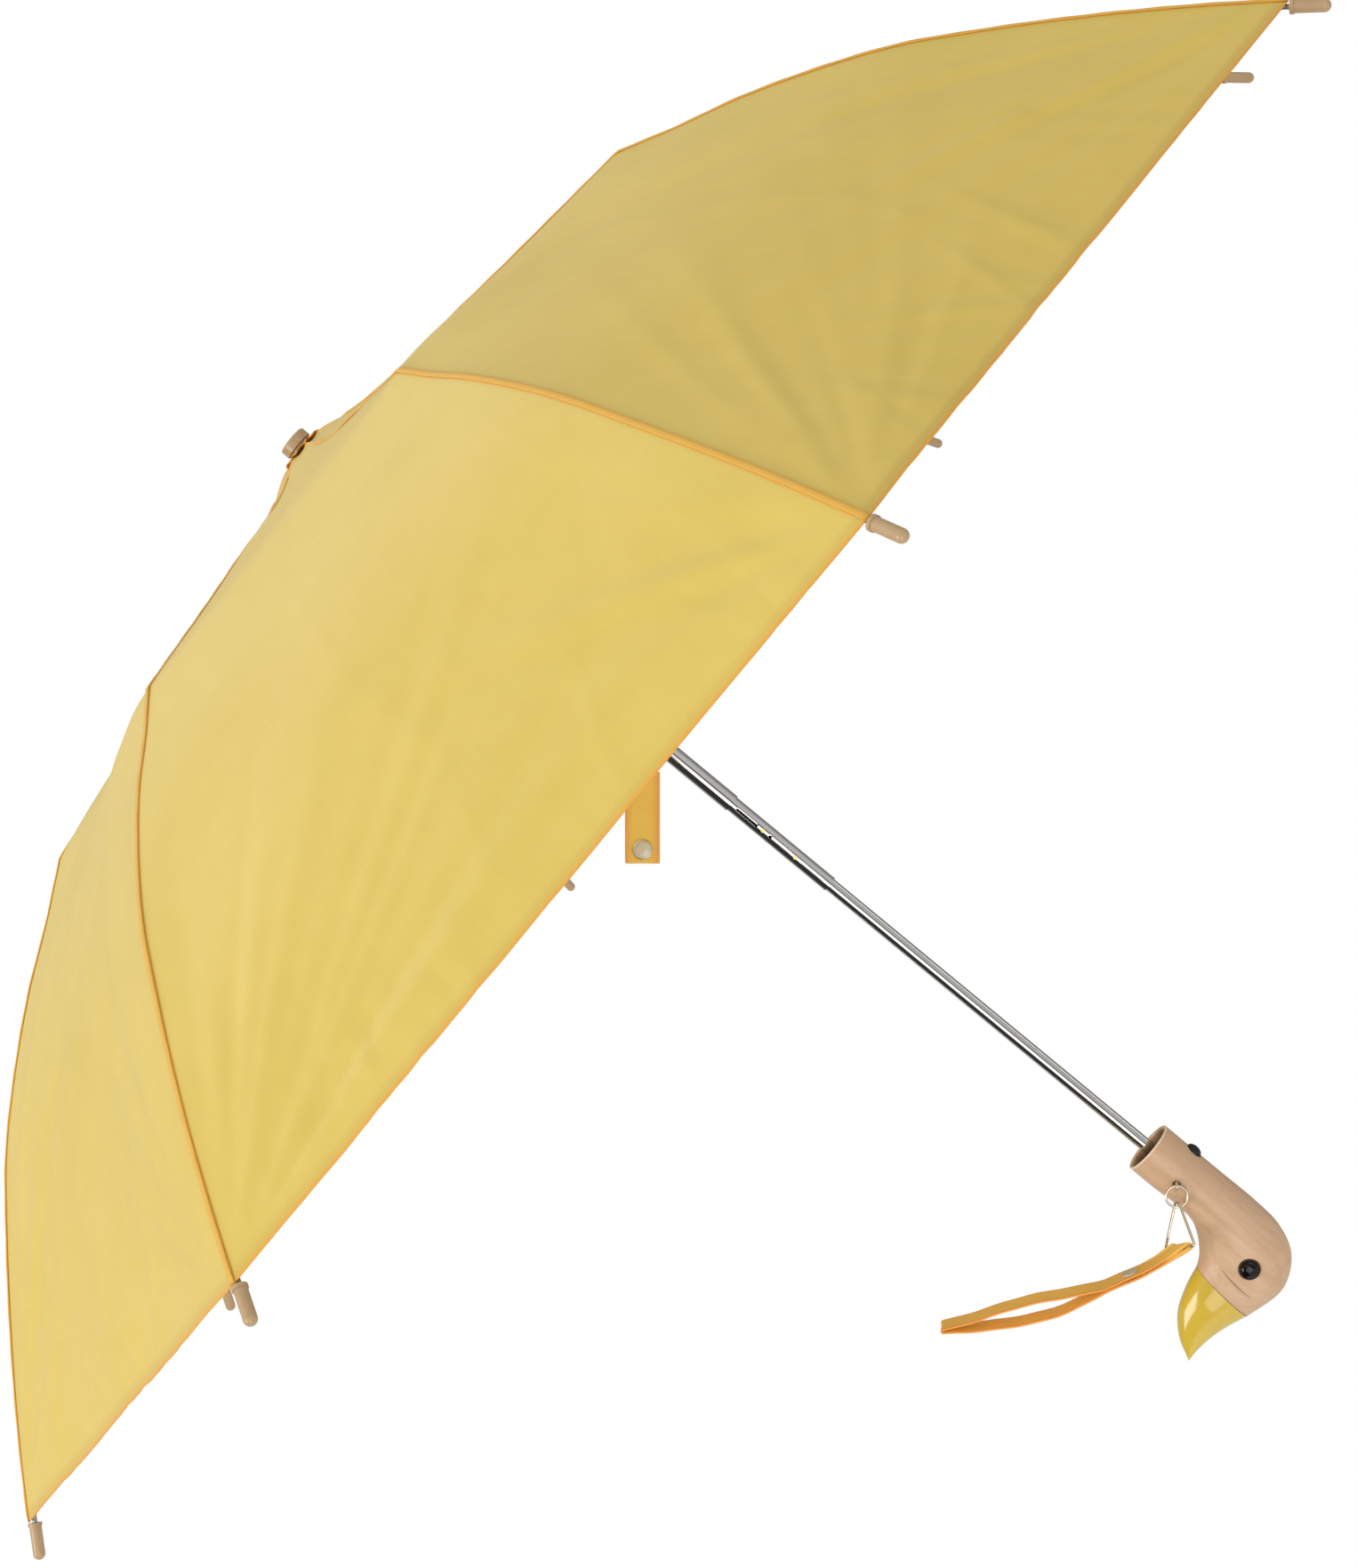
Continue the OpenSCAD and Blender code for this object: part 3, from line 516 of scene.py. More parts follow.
def ridge_curve():
    """The ridge as evenly spaced rows: a cubic through the CAD's points that keeps its kink at the knee."""
    r, z = read_ridge()
    steps = np.hypot(np.diff(r), np.diff(z))
    s = np.concatenate([[0], np.cumsum(steps)])
    slope = np.stack([np.diff(r), np.diff(z)], -1) / steps[:, None]
    turn = np.degrees(np.arccos(np.clip((slope[1:] * slope[:-1]).sum(-1), -1, 1)))
    knee = 1 + int(np.argmax(np.where(s[1:-1] > 100, turn, 0)))
    rows = np.linspace(0, s[-1], int(round(s[-1] / ROW_STEP)) + 1)
    i = np.clip(np.searchsorted(s, rows, "right") - 1, 0, len(steps) - 1)
    mean = (slope[1:] * steps[:-1, None] + slope[:-1] * steps[1:, None]) / (steps[1:] + steps[:-1])[:, None]
    mean = np.vstack([slope[:1], mean, slope[-1:]])
    start = np.where((i == knee)[:, None], slope[i], mean[i])
    stop = np.where((i + 1 == knee)[:, None], slope[i], mean[i + 1])
    t = ((rows - s[i]) / steps[i])[:, None]
    a, b = np.stack([r, z], -1)[i], np.stack([r, z], -1)[i + 1]
    run = steps[i][:, None]
    curve = ((2 * t**3 - 3 * t**2 + 1) * a + (t**3 - 2 * t**2 + t) * run * start
             + (3 * t**2 - 2 * t**3) * b + (t**3 - t**2) * run * stop)
    return rows, curve


RIDGE_S, RIDGE = ridge_curve()
RIDGE_LEN = RIDGE_S[-1]


def softened(curve, reach):
    """The ridge averaged over reach rows to each side, with its two ends held."""
    padded = np.vstack([2 * curve[0] - curve[reach:0:-1], curve, 2 * curve[-1] - curve[-2:-reach - 2:-1]])
    weight = np.hanning(2 * reach + 3)[1:-1]
    weight /= weight.sum()
    return np.stack([np.convolve(padded[:, c], weight, "valid") for c in (0, 1)], -1)


def radial(rz, azimuth):
    a = np.radians(azimuth)
    return np.stack([rz[..., 0] * np.cos(a), rz[..., 0] * np.sin(a), rz[..., 1]], -1)


def normals_of(points):
    """Outward normals of a grid: the cross product of the steps along its columns and along its rows."""
    return unit(np.cross(np.gradient(points, axis=1), np.gradient(points, axis=0))) * -1


def wrinkles(k, across, along, half_chord, u):
    """Height of gore k's wrinkles in millimetres, over metres of cloth: line creases fanning out from both tips, short
    creases square to the hem, the packing crease down the middle and broad slack waves. Each line crease is a
    Gaussian across its line that dies away along it."""
    rng = np.random.default_rng(40 + k)
    height = np.zeros_like(across)
    depth = RIDGE_LEN - along
    for side in (-1, 1):
        dx, dy = half_chord[-1, 0] - side * across, depth
        rho, theta = np.hypot(dx, dy), np.degrees(np.arctan2(dy, dx))
        for j in range(RAY_CREASES):
            at = 4 + 66 * (j + rng.uniform(-0.3, 0.3)) / RAY_CREASES
            size = rng.uniform(0.2, 0.55) * rng.choice([-1, 1], p=[0.35, 0.65])
            reach, width = rng.uniform(80, 230), rng.uniform(2.0, 4.6)
            bend = rng.uniform(-6, 6)
            off = np.radians(theta - at - bend * rho / 200) * rho
            fade = np.exp(-(rho / reach)**2) * smooth_step(rho, 4, 26)
            height += size * np.exp(-(off / (width + rho * 0.02))**2) * fade
    for j in range(HEM_CREASES):
        x0 = rng.uniform(-0.94, 0.94) * half_chord[-1, 0]
        lean = rng.uniform(-0.5, 0.5) - 0.25 * x0 / half_chord[-1, 0]
        size, reach, width = rng.uniform(-0.3, 0.5), rng.uniform(14, 60), rng.uniform(2.4, 5.5)
        height += size * np.exp(-((across - x0 - lean * depth) / width)**2) * np.exp(-(depth / reach)**2)
    wander = 5 * np.sin(along / 47 + k) + 2.5 * np.sin(along / 19 + 2 * k) + rng.uniform(-5, 5)
    fade = smooth_step(along, 0.38 * RIDGE_LEN, 0.62 * RIDGE_LEN)
    height += 0.2 * fade * np.exp(-np.abs(across - wander) / 5.0) * (0.75 + 0.25 * np.sin(along / 11 + k))
    for j in range(SLACK_WAVES):
        wave = rng.uniform(70, 170)
        heading = rng.uniform(0, np.pi)
        phase = (across * np.cos(heading) + along * np.sin(heading)) * 2 * np.pi / wave
        height += rng.uniform(0.05, 0.16) * np.sin(phase + rng.uniform(0, 6.28))
    edge = np.clip(np.sin(np.pi * u), 0, 1)
    height *= 0.3 + 0.7 * smooth_step(depth, 0, 28)
    return SLACK * height * np.clip(edge * 2.2, 0, 1)**0.8 * smooth_step(along, 30, 120)


def gore(k):
    """Gore k between ribs k and k + 1: straight chords from ridge to ridge, eased in the middle of the gore where no
    rib holds the kink, bowed in towards the hem, then raised or lowered by its wrinkles. Its hem turns under."""
    u = np.linspace(0, 1, GORE_COLS + 1)[None, :]
    middle = 4 * u * (1 - u)
    soft = softened(RIDGE, 9)
    curve = RIDGE[:, None, :] + (soft - RIDGE)[:, None, :] * middle[..., None]**0.6
    share = (RIDGE_S / RIDGE_LEN)[:, None]
    a, b = radial(curve, rib_azimuth(k)), radial(curve, rib_azimuth(k + 1))
    points = a + (b - a) * u[..., None]
    points[..., :2] *= (1 - HEM_BOW * middle * share**4)[..., None]
    half = RIDGE[:, :1] * math.sin(math.pi / RIBS)
    across = (2 * u - 1) * half
    along = np.broadcast_to(RIDGE_S[:, None], across.shape)
    points = points + normals_of(points) * wrinkles(k, across, along, half, u)[..., None]
    out = normals_of(points)
    heading = unit(points[-1] - points[-2])
    turn = np.radians(np.array([30, 60, 90, 120, 150, 180]))[:, None, None]
    r = HEM_GAP / 2
    under = points[-1] + r * np.sin(turn) * heading - r * (1 - np.cos(turn)) * out[-1]
    under_n = np.cos(turn) * out[-1] + np.sin(turn) * heading
    back = np.arange(1, int(HEM_TURN / ROW_STEP) + 2) * ROW_STEP
    back[-1] = HEM_TURN
    at = np.interp(RIDGE_LEN - back, RIDGE_S, np.arange(len(RIDGE_S)))
    low = np.floor(at).astype(int)
    t = (at - low)[:, None, None]
    folded = points[low] * (1 - t) + points[np.minimum(low + 1, len(points) - 1)] * t - HEM_GAP * out[low]
    grid = np.concatenate([points, under, folded])
    normals = np.concatenate([out, under_n, -out[low]])
    extra = np.concatenate([np.linspace(0, 0.3, 6), back])
    hem = np.concatenate([RIDGE_LEN - RIDGE_S, extra])[:, None] * np.ones_like(u)
    cloth = np.stack([np.concatenate([across, np.repeat(across[-1:], len(extra), 0)]),
                      np.concatenate([along, along[-1] + extra[:, None] * np.ones_like(u)])], -1)
    seam = np.minimum(u, 1 - u) * 2 * half
    seam = np.concatenate([seam, np.repeat(seam[-1:], len(extra), 0)])
    return grid, unit(normals), cloth * MM, np.stack([seam, hem], -1) * MM


def make_canopy():
    """The crown of the cloth is one piece round the shaft. Below it each gore is cut into wedges that meet exactly, so
    that the open canopy is one unbroken sheet."""
    split = int(np.argmin(np.abs(RIDGE[:, 0] - CROWN_EDGE)))
    crown = []
    for k in range(1, RIBS + 1):
        grid, normals, cloth, edges = gore(k)
        crown.append([part[:split + 1] for part in (grid, normals, cloth, edges)])
        for w in range(WEDGES):
            cols = slice(w * WEDGE_COLS, (w + 1) * WEDGE_COLS + 1)
            part = grid[split:, cols]
            name = f"canopy_gore_{k}_wedge_{w + 1}"
            maps = {"cloth": cloth[split:, cols], "edges": edges[split:, cols]}
            piece = mesh_piece(name, part, [grid_faces(*part.shape[:2])], CANOPY_CLOTH, maps,
                               normals=normals[split:, cols])
            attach(piece, "upper_tube")
            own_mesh(piece)
            rows = np.linalg.norm(np.diff(part, axis=0), axis=-1).mean(1)
    rows = split + 1
    joined = [np.concatenate([part[i] for part in crown], 1) for i in range(4)]
    piece = mesh_piece("canopy_crown", joined[0], [crown_faces(rows)], CANOPY_CLOTH,
                       {"cloth": joined[2], "edges": joined[3]}, normals=joined[1])
    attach(piece, "upper_tube")
    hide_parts("canopy")


def crown_faces(rows):
    """Faces of the eight gores' upper rows laid side by side, leaving out the step from one gore to the next."""
    cols = RIBS * (GORE_COLS + 1)
    faces = grid_faces(rows, cols).reshape(rows - 1, cols - 1, 4)
    keep = (np.arange(cols - 1) + 1) % (GORE_COLS + 1) != 0
    return faces[:, keep].reshape(-1, 4)


make_canopy()


def make_seams():
    """Along each ridge a narrow sewn binding: an oval section carried down the ridge, flattened at both ends."""
    start = int(np.argmin(np.abs(RIDGE[:, 0] - CROWN_EDGE))) - 1
    line = RIDGE[start:]
    heading = unit(np.gradient(line, axis=0))
    up = np.stack([-heading[:, 1], heading[:, 0]], -1)
    angle = round_angles(14)
    s = RIDGE_S[start:]
    thick = 0.5 + 0.06 * np.sin(s / 3.1)
    taper = np.clip(np.minimum(s - s[0] + 0.6, s[-1] - s + 0.6) / 2, 0.15, 1)
    for k in range(1, RIBS + 1):
        a = math.radians(rib_azimuth(k))
        side = np.array([-math.sin(a), math.cos(a), 0])
        wander = 0.15 * np.sin(s / 23 + 2 * k)
        middle = radial(line, rib_azimuth(k)) + wander[:, None] * side
        rise = radial(up, rib_azimuth(k))
        rings = (middle[:, None] + (SEAM_HALF * np.cos(angle))[None, :, None] * side
                 + (thick * taper)[:, None, None] * (np.sin(angle) + 0.25)[None, :, None] * rise[:, None])
        cloth = np.stack(np.broadcast_arrays(SEAM_HALF * np.cos(angle)[None], s[:, None]), -1) * MM
        piece = closed_loft(f"canopy_seam_{k}", rings, SEAM_CLOTH, {"cloth": cloth})
        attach(piece, "upper_tube")
        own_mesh(piece)


make_seams()


def make_rosette():
    """A gathered cloth disc round the finial's neck: rings from the neck to the rim, with growing waves."""
    lo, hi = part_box("rosette")
    z0, edge = hi[2] / MM, (hi[0] - lo[0]) / 2 / MM
    angle = round_angles(144)
    wave = np.sin(12 * angle) + 0.35 * np.sin(19 * angle + 1)
    reach = edge * (1 + 0.03 * np.sin(5 * angle + 2))
    rings = []
    outline = [(0.42, 0.0, 0.0), (0.55, 0.1, 0.2), (0.7, 0.0, 0.45), (0.85, -0.2, 0.8), (0.97, -0.45, 1.0),
               (1.0, -0.6, 1.0), (0.97, -0.8, 1.0), (0.85, -0.75, 0.8), (0.6, -0.8, 0.2), (0.42, -0.9, 0.0)]
    for share, drop, flutter in outline:
        r = reach * share
        rings.append(np.stack([r * np.cos(angle), r * np.sin(angle), z0 + drop + 0.38 * flutter * wave], -1))
    rings = np.array(rings)
    inward = np.array([share * 2 - 1 for share, _, _ in outline])[:, None] * 2
    cloth = np.stack(np.broadcast_arrays(inward, angle[None] * edge), -1) * MM
    faces = [grid_faces(*rings.shape[:2], round_rows=True, round_cols=True)]
    piece = mesh_piece("crown_rosette", rings, faces, SEAM_CLOTH, {"cloth": cloth})
    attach(piece, "upper_tube")
    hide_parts("rosette")


make_rosette()


# -------- the duck's head

THROAT = [(-12.2, 0), (-12.2, -14), (-11.6, -27), (-12.6, -36), (-16.1, -42.5), (-21.2, -48), (-24.6, -50.4),
          (-27.6, -51.8)]
BACK = [(12.2, 0), (12.1, -16), (12.1, -34), (12.1, -52), (10.4, -67.2), (3.4, -80), (-11.2, -86.9), (-30.1, -83.2)]
HEAD_W = [12.2, 12.1, 12, 12.2, 12.2, 11.6, 10.3, 8.8]
BEAK_UPPER = [(-27.6, -51.8), (-37.5, -54.2), (-48.5, -58.9), (-57, -67), (-62, -76.2)]
BEAK_LOWER = [(-30.1, -83.2), (-39, -80), (-47, -78), (-55.5, -77.1), (-62.6, -77.4)]
BEAK_W = [8.8, 8, 6.2, 3.8, 0.6]
EYE_AT = (-11.4, -67.3)
BUTTON_Z = -16.5
EYELET = (-2.9, -18.2)
MOUTH_LINE = [(-19.9, -59.0), (-20.8, -64.0), (-21.4, -70.0), (-21.6, -76.8)]
CHEEK_RIDGE = [(-7.6, -42.6), (-11.6, -47.6), (-14.8, -52.0), (-19.2, -57.0), (-26.0, -60.6)]
HEAD_COLS, HEAD_ROWS = 272, 330
BEAK_COLS, BEAK_ROWS = 160, 150


def ovals(upper, lower, half_w, at, cols):
    """Oval sections: each spans two points of the XZ plane, with a half width along Y."""
    a, b, w = through(upper, at), through(lower, at), through(half_w, at)
    middle, reach = (a + b) / 2, (a - b) / 2
    t = round_angles(cols)
    x, z = (middle[:, i:i + 1] + reach[:, i:i + 1] * np.cos(t) for i in (0, 1))
    return np.stack([x, w[:, None] * np.sin(t), z], -1)


def drawn_in(ring, steps):
    """Copies of an end ring scaled about its middle and moved: steps are (scale, move) with the move a vector."""
    middle = ring.mean(0)
    return np.array([middle + (ring - middle) * scale + np.asarray(move) for scale, move in steps])


def off_line(points, line):
    """Distance in the XZ plane from points to an open line, and the share of the way along it."""
    line = np.asarray(line, float)
    best = np.full(points.shape[:-1], 1e9)
    share = np.zeros(points.shape[:-1])
    p = points[..., [0, 2]]
    for i in range(len(line) - 1):
        a, b = line[i], line[i + 1]
        t = np.clip(((p - a) @ (b - a)) / ((b - a) @ (b - a)), 0, 1)
        d = np.linalg.norm(p - a - t[..., None] * (b - a), axis=-1)
        share = np.where(d < best, (i + t) / (len(line) - 1), share)
        best = np.minimum(best, d)
    return best, share


def make_head():
    """The wooden head: a floor and a wall inside the mouth, a bevelled rim, and oval sections outside. It is cut by
    smooth steps of distance: the seats of eye, button and eyelet and the mouth line. A soft ridge lies before it."""
    t = round_angles(HEAD_COLS)
    floor = [(0.6, -27.4), (3.2, -27.6), (8, -27.7), (10.2, -27.4), (10.8, -26.6)]
    wall = [(10.85, z) for z in np.linspace(-25, -1.6, 12)]
    bevel = [(10.9, -1.1), (11.1, -0.6), (11.4, -0.2), (11.65, -0.03), (11.9, -0.03), (12.08, -0.12), (12.17, -0.3)]
    mouth = np.array([[(-r * c, r * s, z) for c, s in zip(np.cos(t), np.sin(t))] for r, z in floor + wall + bevel])
    skin = ovals(THROAT, BACK, HEAD_W, np.linspace(0.045, 7, HEAD_ROWS), HEAD_COLS)
    close = drawn_in(skin[-1], [(0.985, (-0.25, 0, 0)), (0.96, (-0.32, 0, 0)), (0.9, (-0.34, 0, 0)),
                                (0.5, (-0.34, 0, 0))])
    rings = np.concatenate([mouth, skin, close])
    first = len(mouth)
    x, y, z = rings[first:].transpose(2, 0, 1)
    out = normals_of(rings)[first:]
    centre = rings[first:].mean(1, keepdims=True)
    out *= np.sign(((rings[first:] - centre) * out).sum(-1, keepdims=True))
    push = np.zeros_like(x)
    eye = np.hypot(x - EYE_AT[0], z - EYE_AT[1])
    push -= 0.7 * (1 - smooth_step(eye, 4.5, 5.0))
    button = np.hypot(y, z - BUTTON_Z)
    push -= np.where(x > 6, 1.5 * (1 - smooth_step(button, 3.75, 4.15)), 0)
    pit = np.hypot(x - EYELET[0], z - EYELET[1])
    push -= np.where(y < -6, 2.2 * (1 - smooth_step(pit, 1.25, 1.9)), 0)
    mouth_d, mouth_s = off_line(rings[first:], MOUTH_LINE)
    cut = np.exp(-(mouth_d / 0.35)**2) * np.sin(np.pi * np.clip(mouth_s * 0.94 + 0.03, 0, 1))**0.5
    cut = np.where(mouth_s * (1 - mouth_s) > 1e-6, cut, 0)
    push -= 0.3 * cut
    ridge_d, ridge_s = off_line(rings[first:], CHEEK_RIDGE)
    push += 0.35 * np.exp(-(ridge_d / 1.5)**2) * np.sin(np.pi * ridge_s)**0.7
    rings[first:] += out * push[..., None]
    # Painted shade: darker the deeper inside the mouth, and dark in the mouth line's groove and in the seats of eye,
    # button and eyelet
    painted_shade_and_joint = np.zeros(rings.shape[:2])
    painted_shade_and_joint[:first] = smooth_step(-rings[:first, :, 2], 0.9, 3.0) * 0.62
    seats = [0.9 * np.where(y < -6, 1 - smooth_step(pit, 1.3, 1.9), 0), 0.8 * (1 - smooth_step(eye, 4.7, 5.1)),
             0.85 * np.where(x > 6, 1 - smooth_step(button, 3.8, 4.3), 0)]
    painted_shade_and_joint[first:] = np.clip(np.maximum.reduce([0.75 * cut, *seats]), 0, 1)
    # The dark joint line where the wood meets the beak
    painted_shade_and_joint[-7:] = np.maximum(painted_shade_and_joint[-7:], np.array([0.3, 0.7, 0.9, 1, 1, 1, 1])[:, None])
    rim = np.zeros(rings.shape[:2])
    rim[:first + 3] = (1 - smooth_step(np.abs(rings[:first + 3, :, 2] + 0.15), 0.25, 0.9)) * 0.8
    piece = closed_loft("duck_head", rings, WOOD, values={"painted_shade_and_joint": painted_shade_and_joint, "rim": rim})
    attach(piece, "handle")
    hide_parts("handle")


def make_beak():
    """The lacquered beak: oval sections down to a blunt tip, with the corners at the wood drawn in to a fine joint."""
    skin = ovals(BEAK_UPPER, BEAK_LOWER, BEAK_W, np.linspace(0.02, 4, BEAK_ROWS), BEAK_COLS)
    start = drawn_in(skin[0], [(0.5, (0.1, 0, 0)), (0.93, (0.1, 0, 0)), (0.975, (0.06, 0, 0))])
    nose = drawn_in(skin[-1], [(0.8, (-0.15, 0, -0.12)), (0.45, (-0.25, 0, -0.2))])
    piece = closed_loft("duck_beak", np.concatenate([start, skin, nose]), BEAK_GLOSS)
    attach(piece, "handle")
    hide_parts("beak")


def make_eyes():
    """Each eye is a glossy bead, a shallow cap of a sphere, in a turned rim that sinks into the wood."""
    lo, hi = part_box("eyes")
    for name, side in (("near", -1), ("far", 1)):
        peak = abs((lo if side < 0 else hi)[1]) / MM
        at, way = (EYE_AT[0], 0, EYE_AT[1]), (0, side, 0)
        base = peak - 1.7
        dome = [(max(3.95 * math.sin(a), 0.05), base - 0.1 + 1.75 * math.cos(a))
                for a in np.linspace(math.pi / 2, 0.02, 18)]
        sunk = [(0.1, base - 2.4), (3.7, base - 2.4), (3.95, base - 1.8)]
        bead = turned_piece(f"eye_bead_{name}", sunk + dome, at, way, EYE_GLASS)
        rim = np.vstack([[(0.1, base - 2.6), (4.62, base - 2.6)], arc(4.25, base - 0.25, 0.42, 0, 170, 12),
                         [(3.7, base - 0.9), (0.1, base - 1.1)]])
        ring = turned_piece(f"eye_rim_{name}", rim, at, way, EYE_SURROUND)
        for piece in (bead, ring):
            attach(piece, "handle")
        if side < 0:
            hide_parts("eyes")


make_head()
make_beak()
make_eyes()


def make_button():
    """The press button: a skirt with a small bevel, a straight side and a low dome."""
    lo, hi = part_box("press_button")
    top = hi[0] / MM
    side = [(0.1, top - 5.6), (3.4, top - 5.6), (3.55, top - 5.4), (3.6, top - 5), (3.6, top - 2.4)]
    dome = [(3.58 * math.cos(a), top - 2.2 + 2.15 * math.sin(a)) for a in np.radians(np.linspace(4, 88, 20))]
    piece = turned_piece("press_button_cap", side + dome, (0, 0, BUTTON_Z), (1, 0, 0), BUTTON_RUBBER)
    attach(piece, "press_button")
    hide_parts("press_button")


make_button()


# -------- straps and snaps

BAR_IN, BAR_OUT = np.array([-28.2, -12.6, -33.4]), np.array([-15.7, -27.6, -38.4])
BAR = (BAR_IN + BAR_OUT) / 2
STRAP_TURN = np.array([-62, BAR[1], -27])
STRAP_END = np.array([-117, BAR[1], 18.6])
STRAP_W, STRAP_T = 14.0, 0.9
BAR_ROOM, TIP_ROOM = 1.3, 0.6
TURN_POINTS = 9
BAND_COLS = 40


def ribbon(line, out, side, width, thick, cup, length_map):
    """The points and map of a band: at each station a flat oval section, width across and thick through, cupped a
    little and a bit fuller along its two stitched edges."""
    a = round_angles(BAND_COLS)
    across = np.sign(np.cos(a)) * np.abs(np.cos(a))**0.35
    off = np.abs(across)
    fuller = 1 + 0.45 * smooth_step(off, 0.7, 0.86) * (1 - smooth_step(off, 0.95, 1.0))
    depth = np.sign(np.sin(a)) * np.abs(np.sin(a))**0.6 * fuller
    rings = (line[:, None] + (across[None, :] * width[:, None] / 2)[..., None] * side[:, None]
             + ((depth[None, :] * thick[:, None] / 2) + cup * (across[None, :]**2 - 0.33))[..., None] * out[:, None])
    cloth = np.stack(np.broadcast_arrays(across[None] * width[:, None] / 2, length_map[:, None]), -1) * MM
    return rings, cloth


def make_wrist_strap():
    """The wrist strap's loop. Its middle line is a quadratic curve from the triangle's bar; the two layers part towards
    the far end, and the width turns from the bar's direction to the Y axis on the way."""
    def station(u, layer):
        u = u[:, None]
        first, second = BAR + (STRAP_TURN - BAR) * u, STRAP_TURN + (STRAP_END - STRAP_TURN) * u
        heading = unit((STRAP_TURN - BAR) * (1 - u) + (STRAP_END - STRAP_TURN) * u)
        turned = np.minimum(1, u / 0.4)
        across = unit(unit(BAR_OUT - BAR_IN) * (1 - turned) + np.array([0, -1, 0]) * turned)
        out = unit(np.cross(across, heading))
        apart = np.clip(np.sin(np.pi * np.maximum(0, u - 0.4) / 0.6), 0, 1)**1.2
        gap = np.where(u < 0.1, BAR_ROOM + (TIP_ROOM - BAR_ROOM) * u / 0.1, TIP_ROOM + 3.4 * apart)
        return first + (second - first) * u + layer * gap * out, layer * out, across, heading

    u = np.linspace(0, 1, 180)
    there, back = station(u, 1), station(u[::-1], -1)
    end, begin = [x[-1] for x in there], [x[0] for x in there]
    half = np.linspace(0, np.pi, TURN_POINTS + 2)[1:-1, None]
    tip_line = STRAP_END + TIP_ROOM * np.cos(half) * end[1] + 0.8 * np.sin(half) * end[3]
    tip_out = unit(np.cos(half) * end[1] + np.sin(half) * end[3])
    bar_line = BAR - BAR_ROOM * np.cos(half) * begin[1] - BAR_ROOM * np.sin(half) * begin[3]
    bar_out = unit(-np.cos(half) * begin[1] - np.sin(half) * begin[3])
    line = np.vstack([there[0], tip_line, back[0], bar_line])
    out = np.vstack([there[1], tip_out, back[1], bar_out])
    side = np.vstack([there[2], [end[2]] * TURN_POINTS, back[2], [begin[2]] * TURN_POINTS])
    run = np.concatenate([[0], np.cumsum(np.linalg.norm(np.diff(line, axis=0), axis=1))])
    from_bar = np.linalg.norm(line - BAR, axis=1)
    width = STRAP_W * (0.82 + 0.18 * smooth_step(from_bar, 4, 22))
    thick = np.full(len(line), STRAP_T) * (1 + 0.5 * (1 - smooth_step(from_bar, 3, 14)))
    rings, cloth = ribbon(line, out, side, width, thick, 0.3, run)
    lift = 0.22 * np.exp(-(from_bar / 16)**2)[:, None] * np.sin(cloth[..., 0] / MM * 2.3 + from_bar[:, None] * 0.12)
    ripple = 0.18 * np.sin(run / 7.3)[:, None] + 0.12 * np.sin(run / 3.1 + 1)[:, None]
    rings += (lift + ripple * smooth_step(from_bar, 8, 30)[:, None])[..., None] * out[:, None]
    faces = [grid_faces(*rings.shape[:2], round_rows=True, round_cols=True)]
    piece = mesh_piece("wrist_strap_loop", rings, faces, WRIST_RIBBON, {"cloth": cloth})
    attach(piece, "wrist_strap")
    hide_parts("wrist_strap")


CLOSURE_LEN, CLOSURE_CURL = 44, 0.8
CLOSURE_W, CLOSURE_T, CLOSURE_TUCK = 20, 0.9, 8


def make_closure_snap(face):
    """The snap at the strap's end: a pearly domed cap in a thin metal rim in front, and its stud's disc behind."""
    lo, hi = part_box("closure_snap")
    at = (np.array(lo) + np.array(hi)) / 2 / MM + CLOSURE_CURL * face
    dome = [(5.15 * math.cos(a), 1.0 + 1.1 * math.sin(a)) for a in np.linspace(0.05, 1.55, 16)]
    cap = turned_piece("closure_snap_cap", [(0.1, 0.5), (5.1, 0.5)] + dome, at, face, PEARL)
    rim = np.vstack([[(0.1, 0.5), (5.3, 0.5)], arc(5.3, 0.8, 0.35, -60, 170, 12), [(4.6, 0.7), (0.1, 0.7)]])
    ring = turned_piece("closure_snap_rim", rim, at, face, NICKEL)
    disc = [(0.1, -1.9), (4.6, -1.9), (5.0, -1.6), (5.0, -0.5), (0.1, -0.5)]
    stud = turned_piece("closure_snap_stud", disc, at, face, NICKEL)
    for piece in (cap, ring, stud):
        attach(piece, "closure_strap")
    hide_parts("closure_snap")


def make_closure_strap():
    """The closure strap: a flat band that hangs from behind the hem, with a square folded end and a little curl."""
    way = unit([-0.76, -0.14, -0.64])
    side = unit(np.cross(way, (0, 1, 0)))
    face = np.cross(side, -way)
    hem = RIDGE[-1]
    ribs = [radial(hem, rib_azimuth(k)) for k in (3, 2)]
    top = ribs[0] + (ribs[1] - ribs[0]) * 0.22 - np.array([0, 2, 6.5])
    s = np.linspace(-CLOSURE_TUCK, CLOSURE_LEN, 90)
    bend = CLOSURE_CURL * np.sin(s / 17) * smooth_step(s, 4, 16)
    line = top + s[:, None] * way + bend[:, None] * face
    out = np.repeat(face[None], len(s), 0)
    sides = np.repeat(side[None], len(s), 0)
    end = 1 - smooth_step(s, CLOSURE_LEN - 1, CLOSURE_LEN)
    width = CLOSURE_W * (0.97 + 0.03 * end)
    thick = np.full(len(s), CLOSURE_T) * (1 + 0.35 * smooth_step(s, CLOSURE_LEN - 7.8, CLOSURE_LEN - 7.2))
    rings, cloth = ribbon(line, out, sides, width, thick, 0.25, s)
    piece = closed_loft("closure_strap_band", rings, CLOSURE_RIBBON, {"cloth": cloth})
    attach(piece, "closure_strap")
    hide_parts("closure_strap")
    make_closure_snap(face)


make_wrist_strap()
make_closure_strap()


# -------- CAD pieces that show as they are

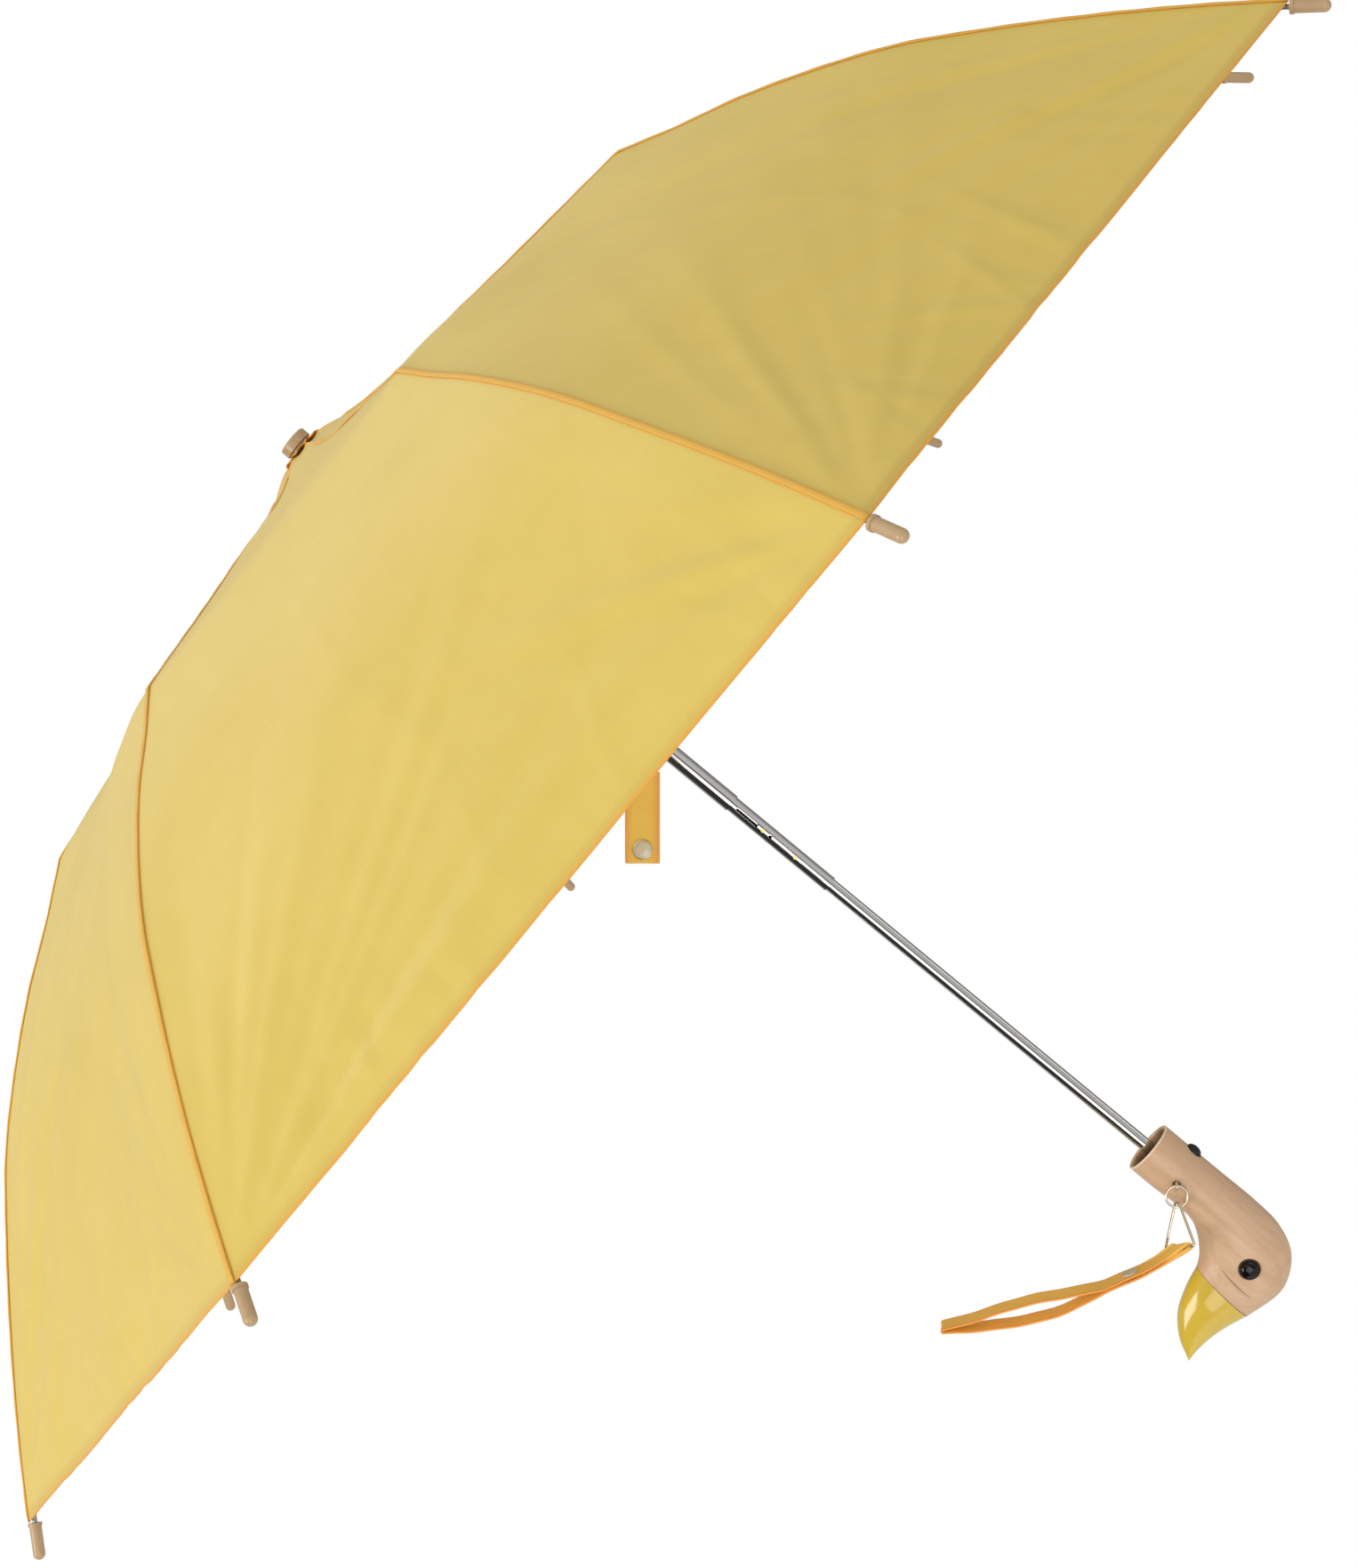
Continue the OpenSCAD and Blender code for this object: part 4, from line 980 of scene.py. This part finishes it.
SHOWN = {
    "split_ring": (NICKEL, "nickel"), "triangle_link": (NICKEL, "nickel"), "strap_eyelet": (NICKEL, "nickel"),
    "lower_tube": (CHROME, "steel"), "middle_tube": (CHROME, "steel"), "upper_tube": (CHROME, "steel"),
    "catch_pins": (BRASS, "brass"), "crown": (DARK_PLASTIC, "dark_plastic"), "runner": (DARK_PLASTIC, "dark_plastic"),
    "finial": (TAN_PLASTIC, "tan_plastic"), "strap_snap": (PEARL, "snap"),
}
for k in range(1, RIBS + 1):
    for part in ("top_rib", "mid_rib", "outer_rib", "stretcher"):
        SHOWN[f"{part}_{k}"] = (RIB_STEEL, "rib_steel")
    SHOWN[f"rib_tip_{k}"] = (TAN_PLASTIC, "tan_plastic")
for node, (material, slot_name) in SHOWN.items():
    piece = frame["nodes"][node]
    piece.data.materials.clear()
    piece.data.materials.append(material)


# -------- floor, light and surroundings

LIT_POINT = np.array([0, 0, 0.2])


def make_stage():
    """A pale round floor whose edge fades into the surroundings, four large soft lights, and surroundings that are
    white to look at, plain to matt surfaces, and banded round the horizon to bright metal, for its dark and light
    lines."""
    rows, cols, radius, level = 12, 96, 1150, -560.0
    t = round_angles(cols)
    r = np.linspace(0.02, 1.0, rows)[:, None] * radius
    rings = np.stack([r * np.cos(t), r * np.sin(t), np.full((rows, cols), level)], -1)
    floor = mesh_piece("studio_floor", rings, [grid_faces(rows, cols, round_cols=True)], FLOOR_PAINT)
    tree = FLOOR_PAINT.node_tree
    place = put(tree, "VectorMath", {0: object_place(tree)}, operation="LENGTH").outputs[1]
    fade = ranged(tree, place, 0.85, 1.2)
    clear = put(tree, "BsdfTransparent").outputs[0]
    mix = put(tree, "MixShader", {0: fade, 1: tree.nodes["Principled BSDF"].outputs[0], 2: clear}).outputs[0]
    tree.links.new(mix, tree.nodes["Material Output"].inputs[0])
    lights = (("key_light", (-2.0, -1.7, 1.3), 1.4, 32), ("fill_light", (1.9, -1.7, 0.9), 1.3, 5),
              ("top_light", (-0.6, 0.6, 2.2), 1.8, 12), ("low_light", (-0.3, -2.0, -0.35), 1.2, 9))
    for name, place, size, power in lights:
        data = bpy.data.lights.new(name, "AREA")
        data.energy, data.size = power, size
        placed(name, data, axes_for(np.array(place) - LIT_POINT), place)
    world = bpy.data.worlds.new("studio_surroundings")
    bpy.context.scene.world = world
    world.use_nodes = True
    tree = world.node_tree
    part = parted(tree, put(tree, "TexCoord").outputs["Generated"])
    turn = ranged(tree, maths(tree, "ARCTAN2", part[1], part[0]), -math.pi, math.pi)
    bands = put(tree, "ValToRGB", {0: turn})
    stops = [(0.0, 0.05), (0.17, 0.04), (0.205, 0.06), (0.225, 0.95), (0.29, 1.0), (0.305, 0.08), (0.33, 0.08),
             (0.345, 0.65), (0.45, 0.75), (0.56, 0.35), (0.75, 0.15), (0.86, 0.5), (0.92, 0.55), (0.96, 0.12),
             (1.0, 0.05)]
    ramp = bands.color_ramp.elements
    while len(ramp) < len(stops):
        ramp.new(0.5)
    for element, (at, level) in zip(ramp, stops):
        element.position = at
        element.color = (level, level, level, 1)
    plain = (0.72, 0.72, 0.72, 1)
    steep = ranged(tree, maths(tree, "ABSOLUTE", part[2]), 0.4, 0.8)
    round_it = blended(tree, steep, bands.outputs[0], plain)
    path = put(tree, "LightPath").outputs
    lit = blended(tree, path["Is Glossy Ray"], plain, round_it)
    shown = blended(tree, path["Is Camera Ray"], lit, (1.0, 1.0, 1.0, 1))
    tree.links.new(shown, tree.nodes["Background"].inputs[0])
    tree.nodes["Background"].inputs[1].default_value = 1.0
    bpy.context.scene.view_settings.view_transform = "Standard"


make_stage()
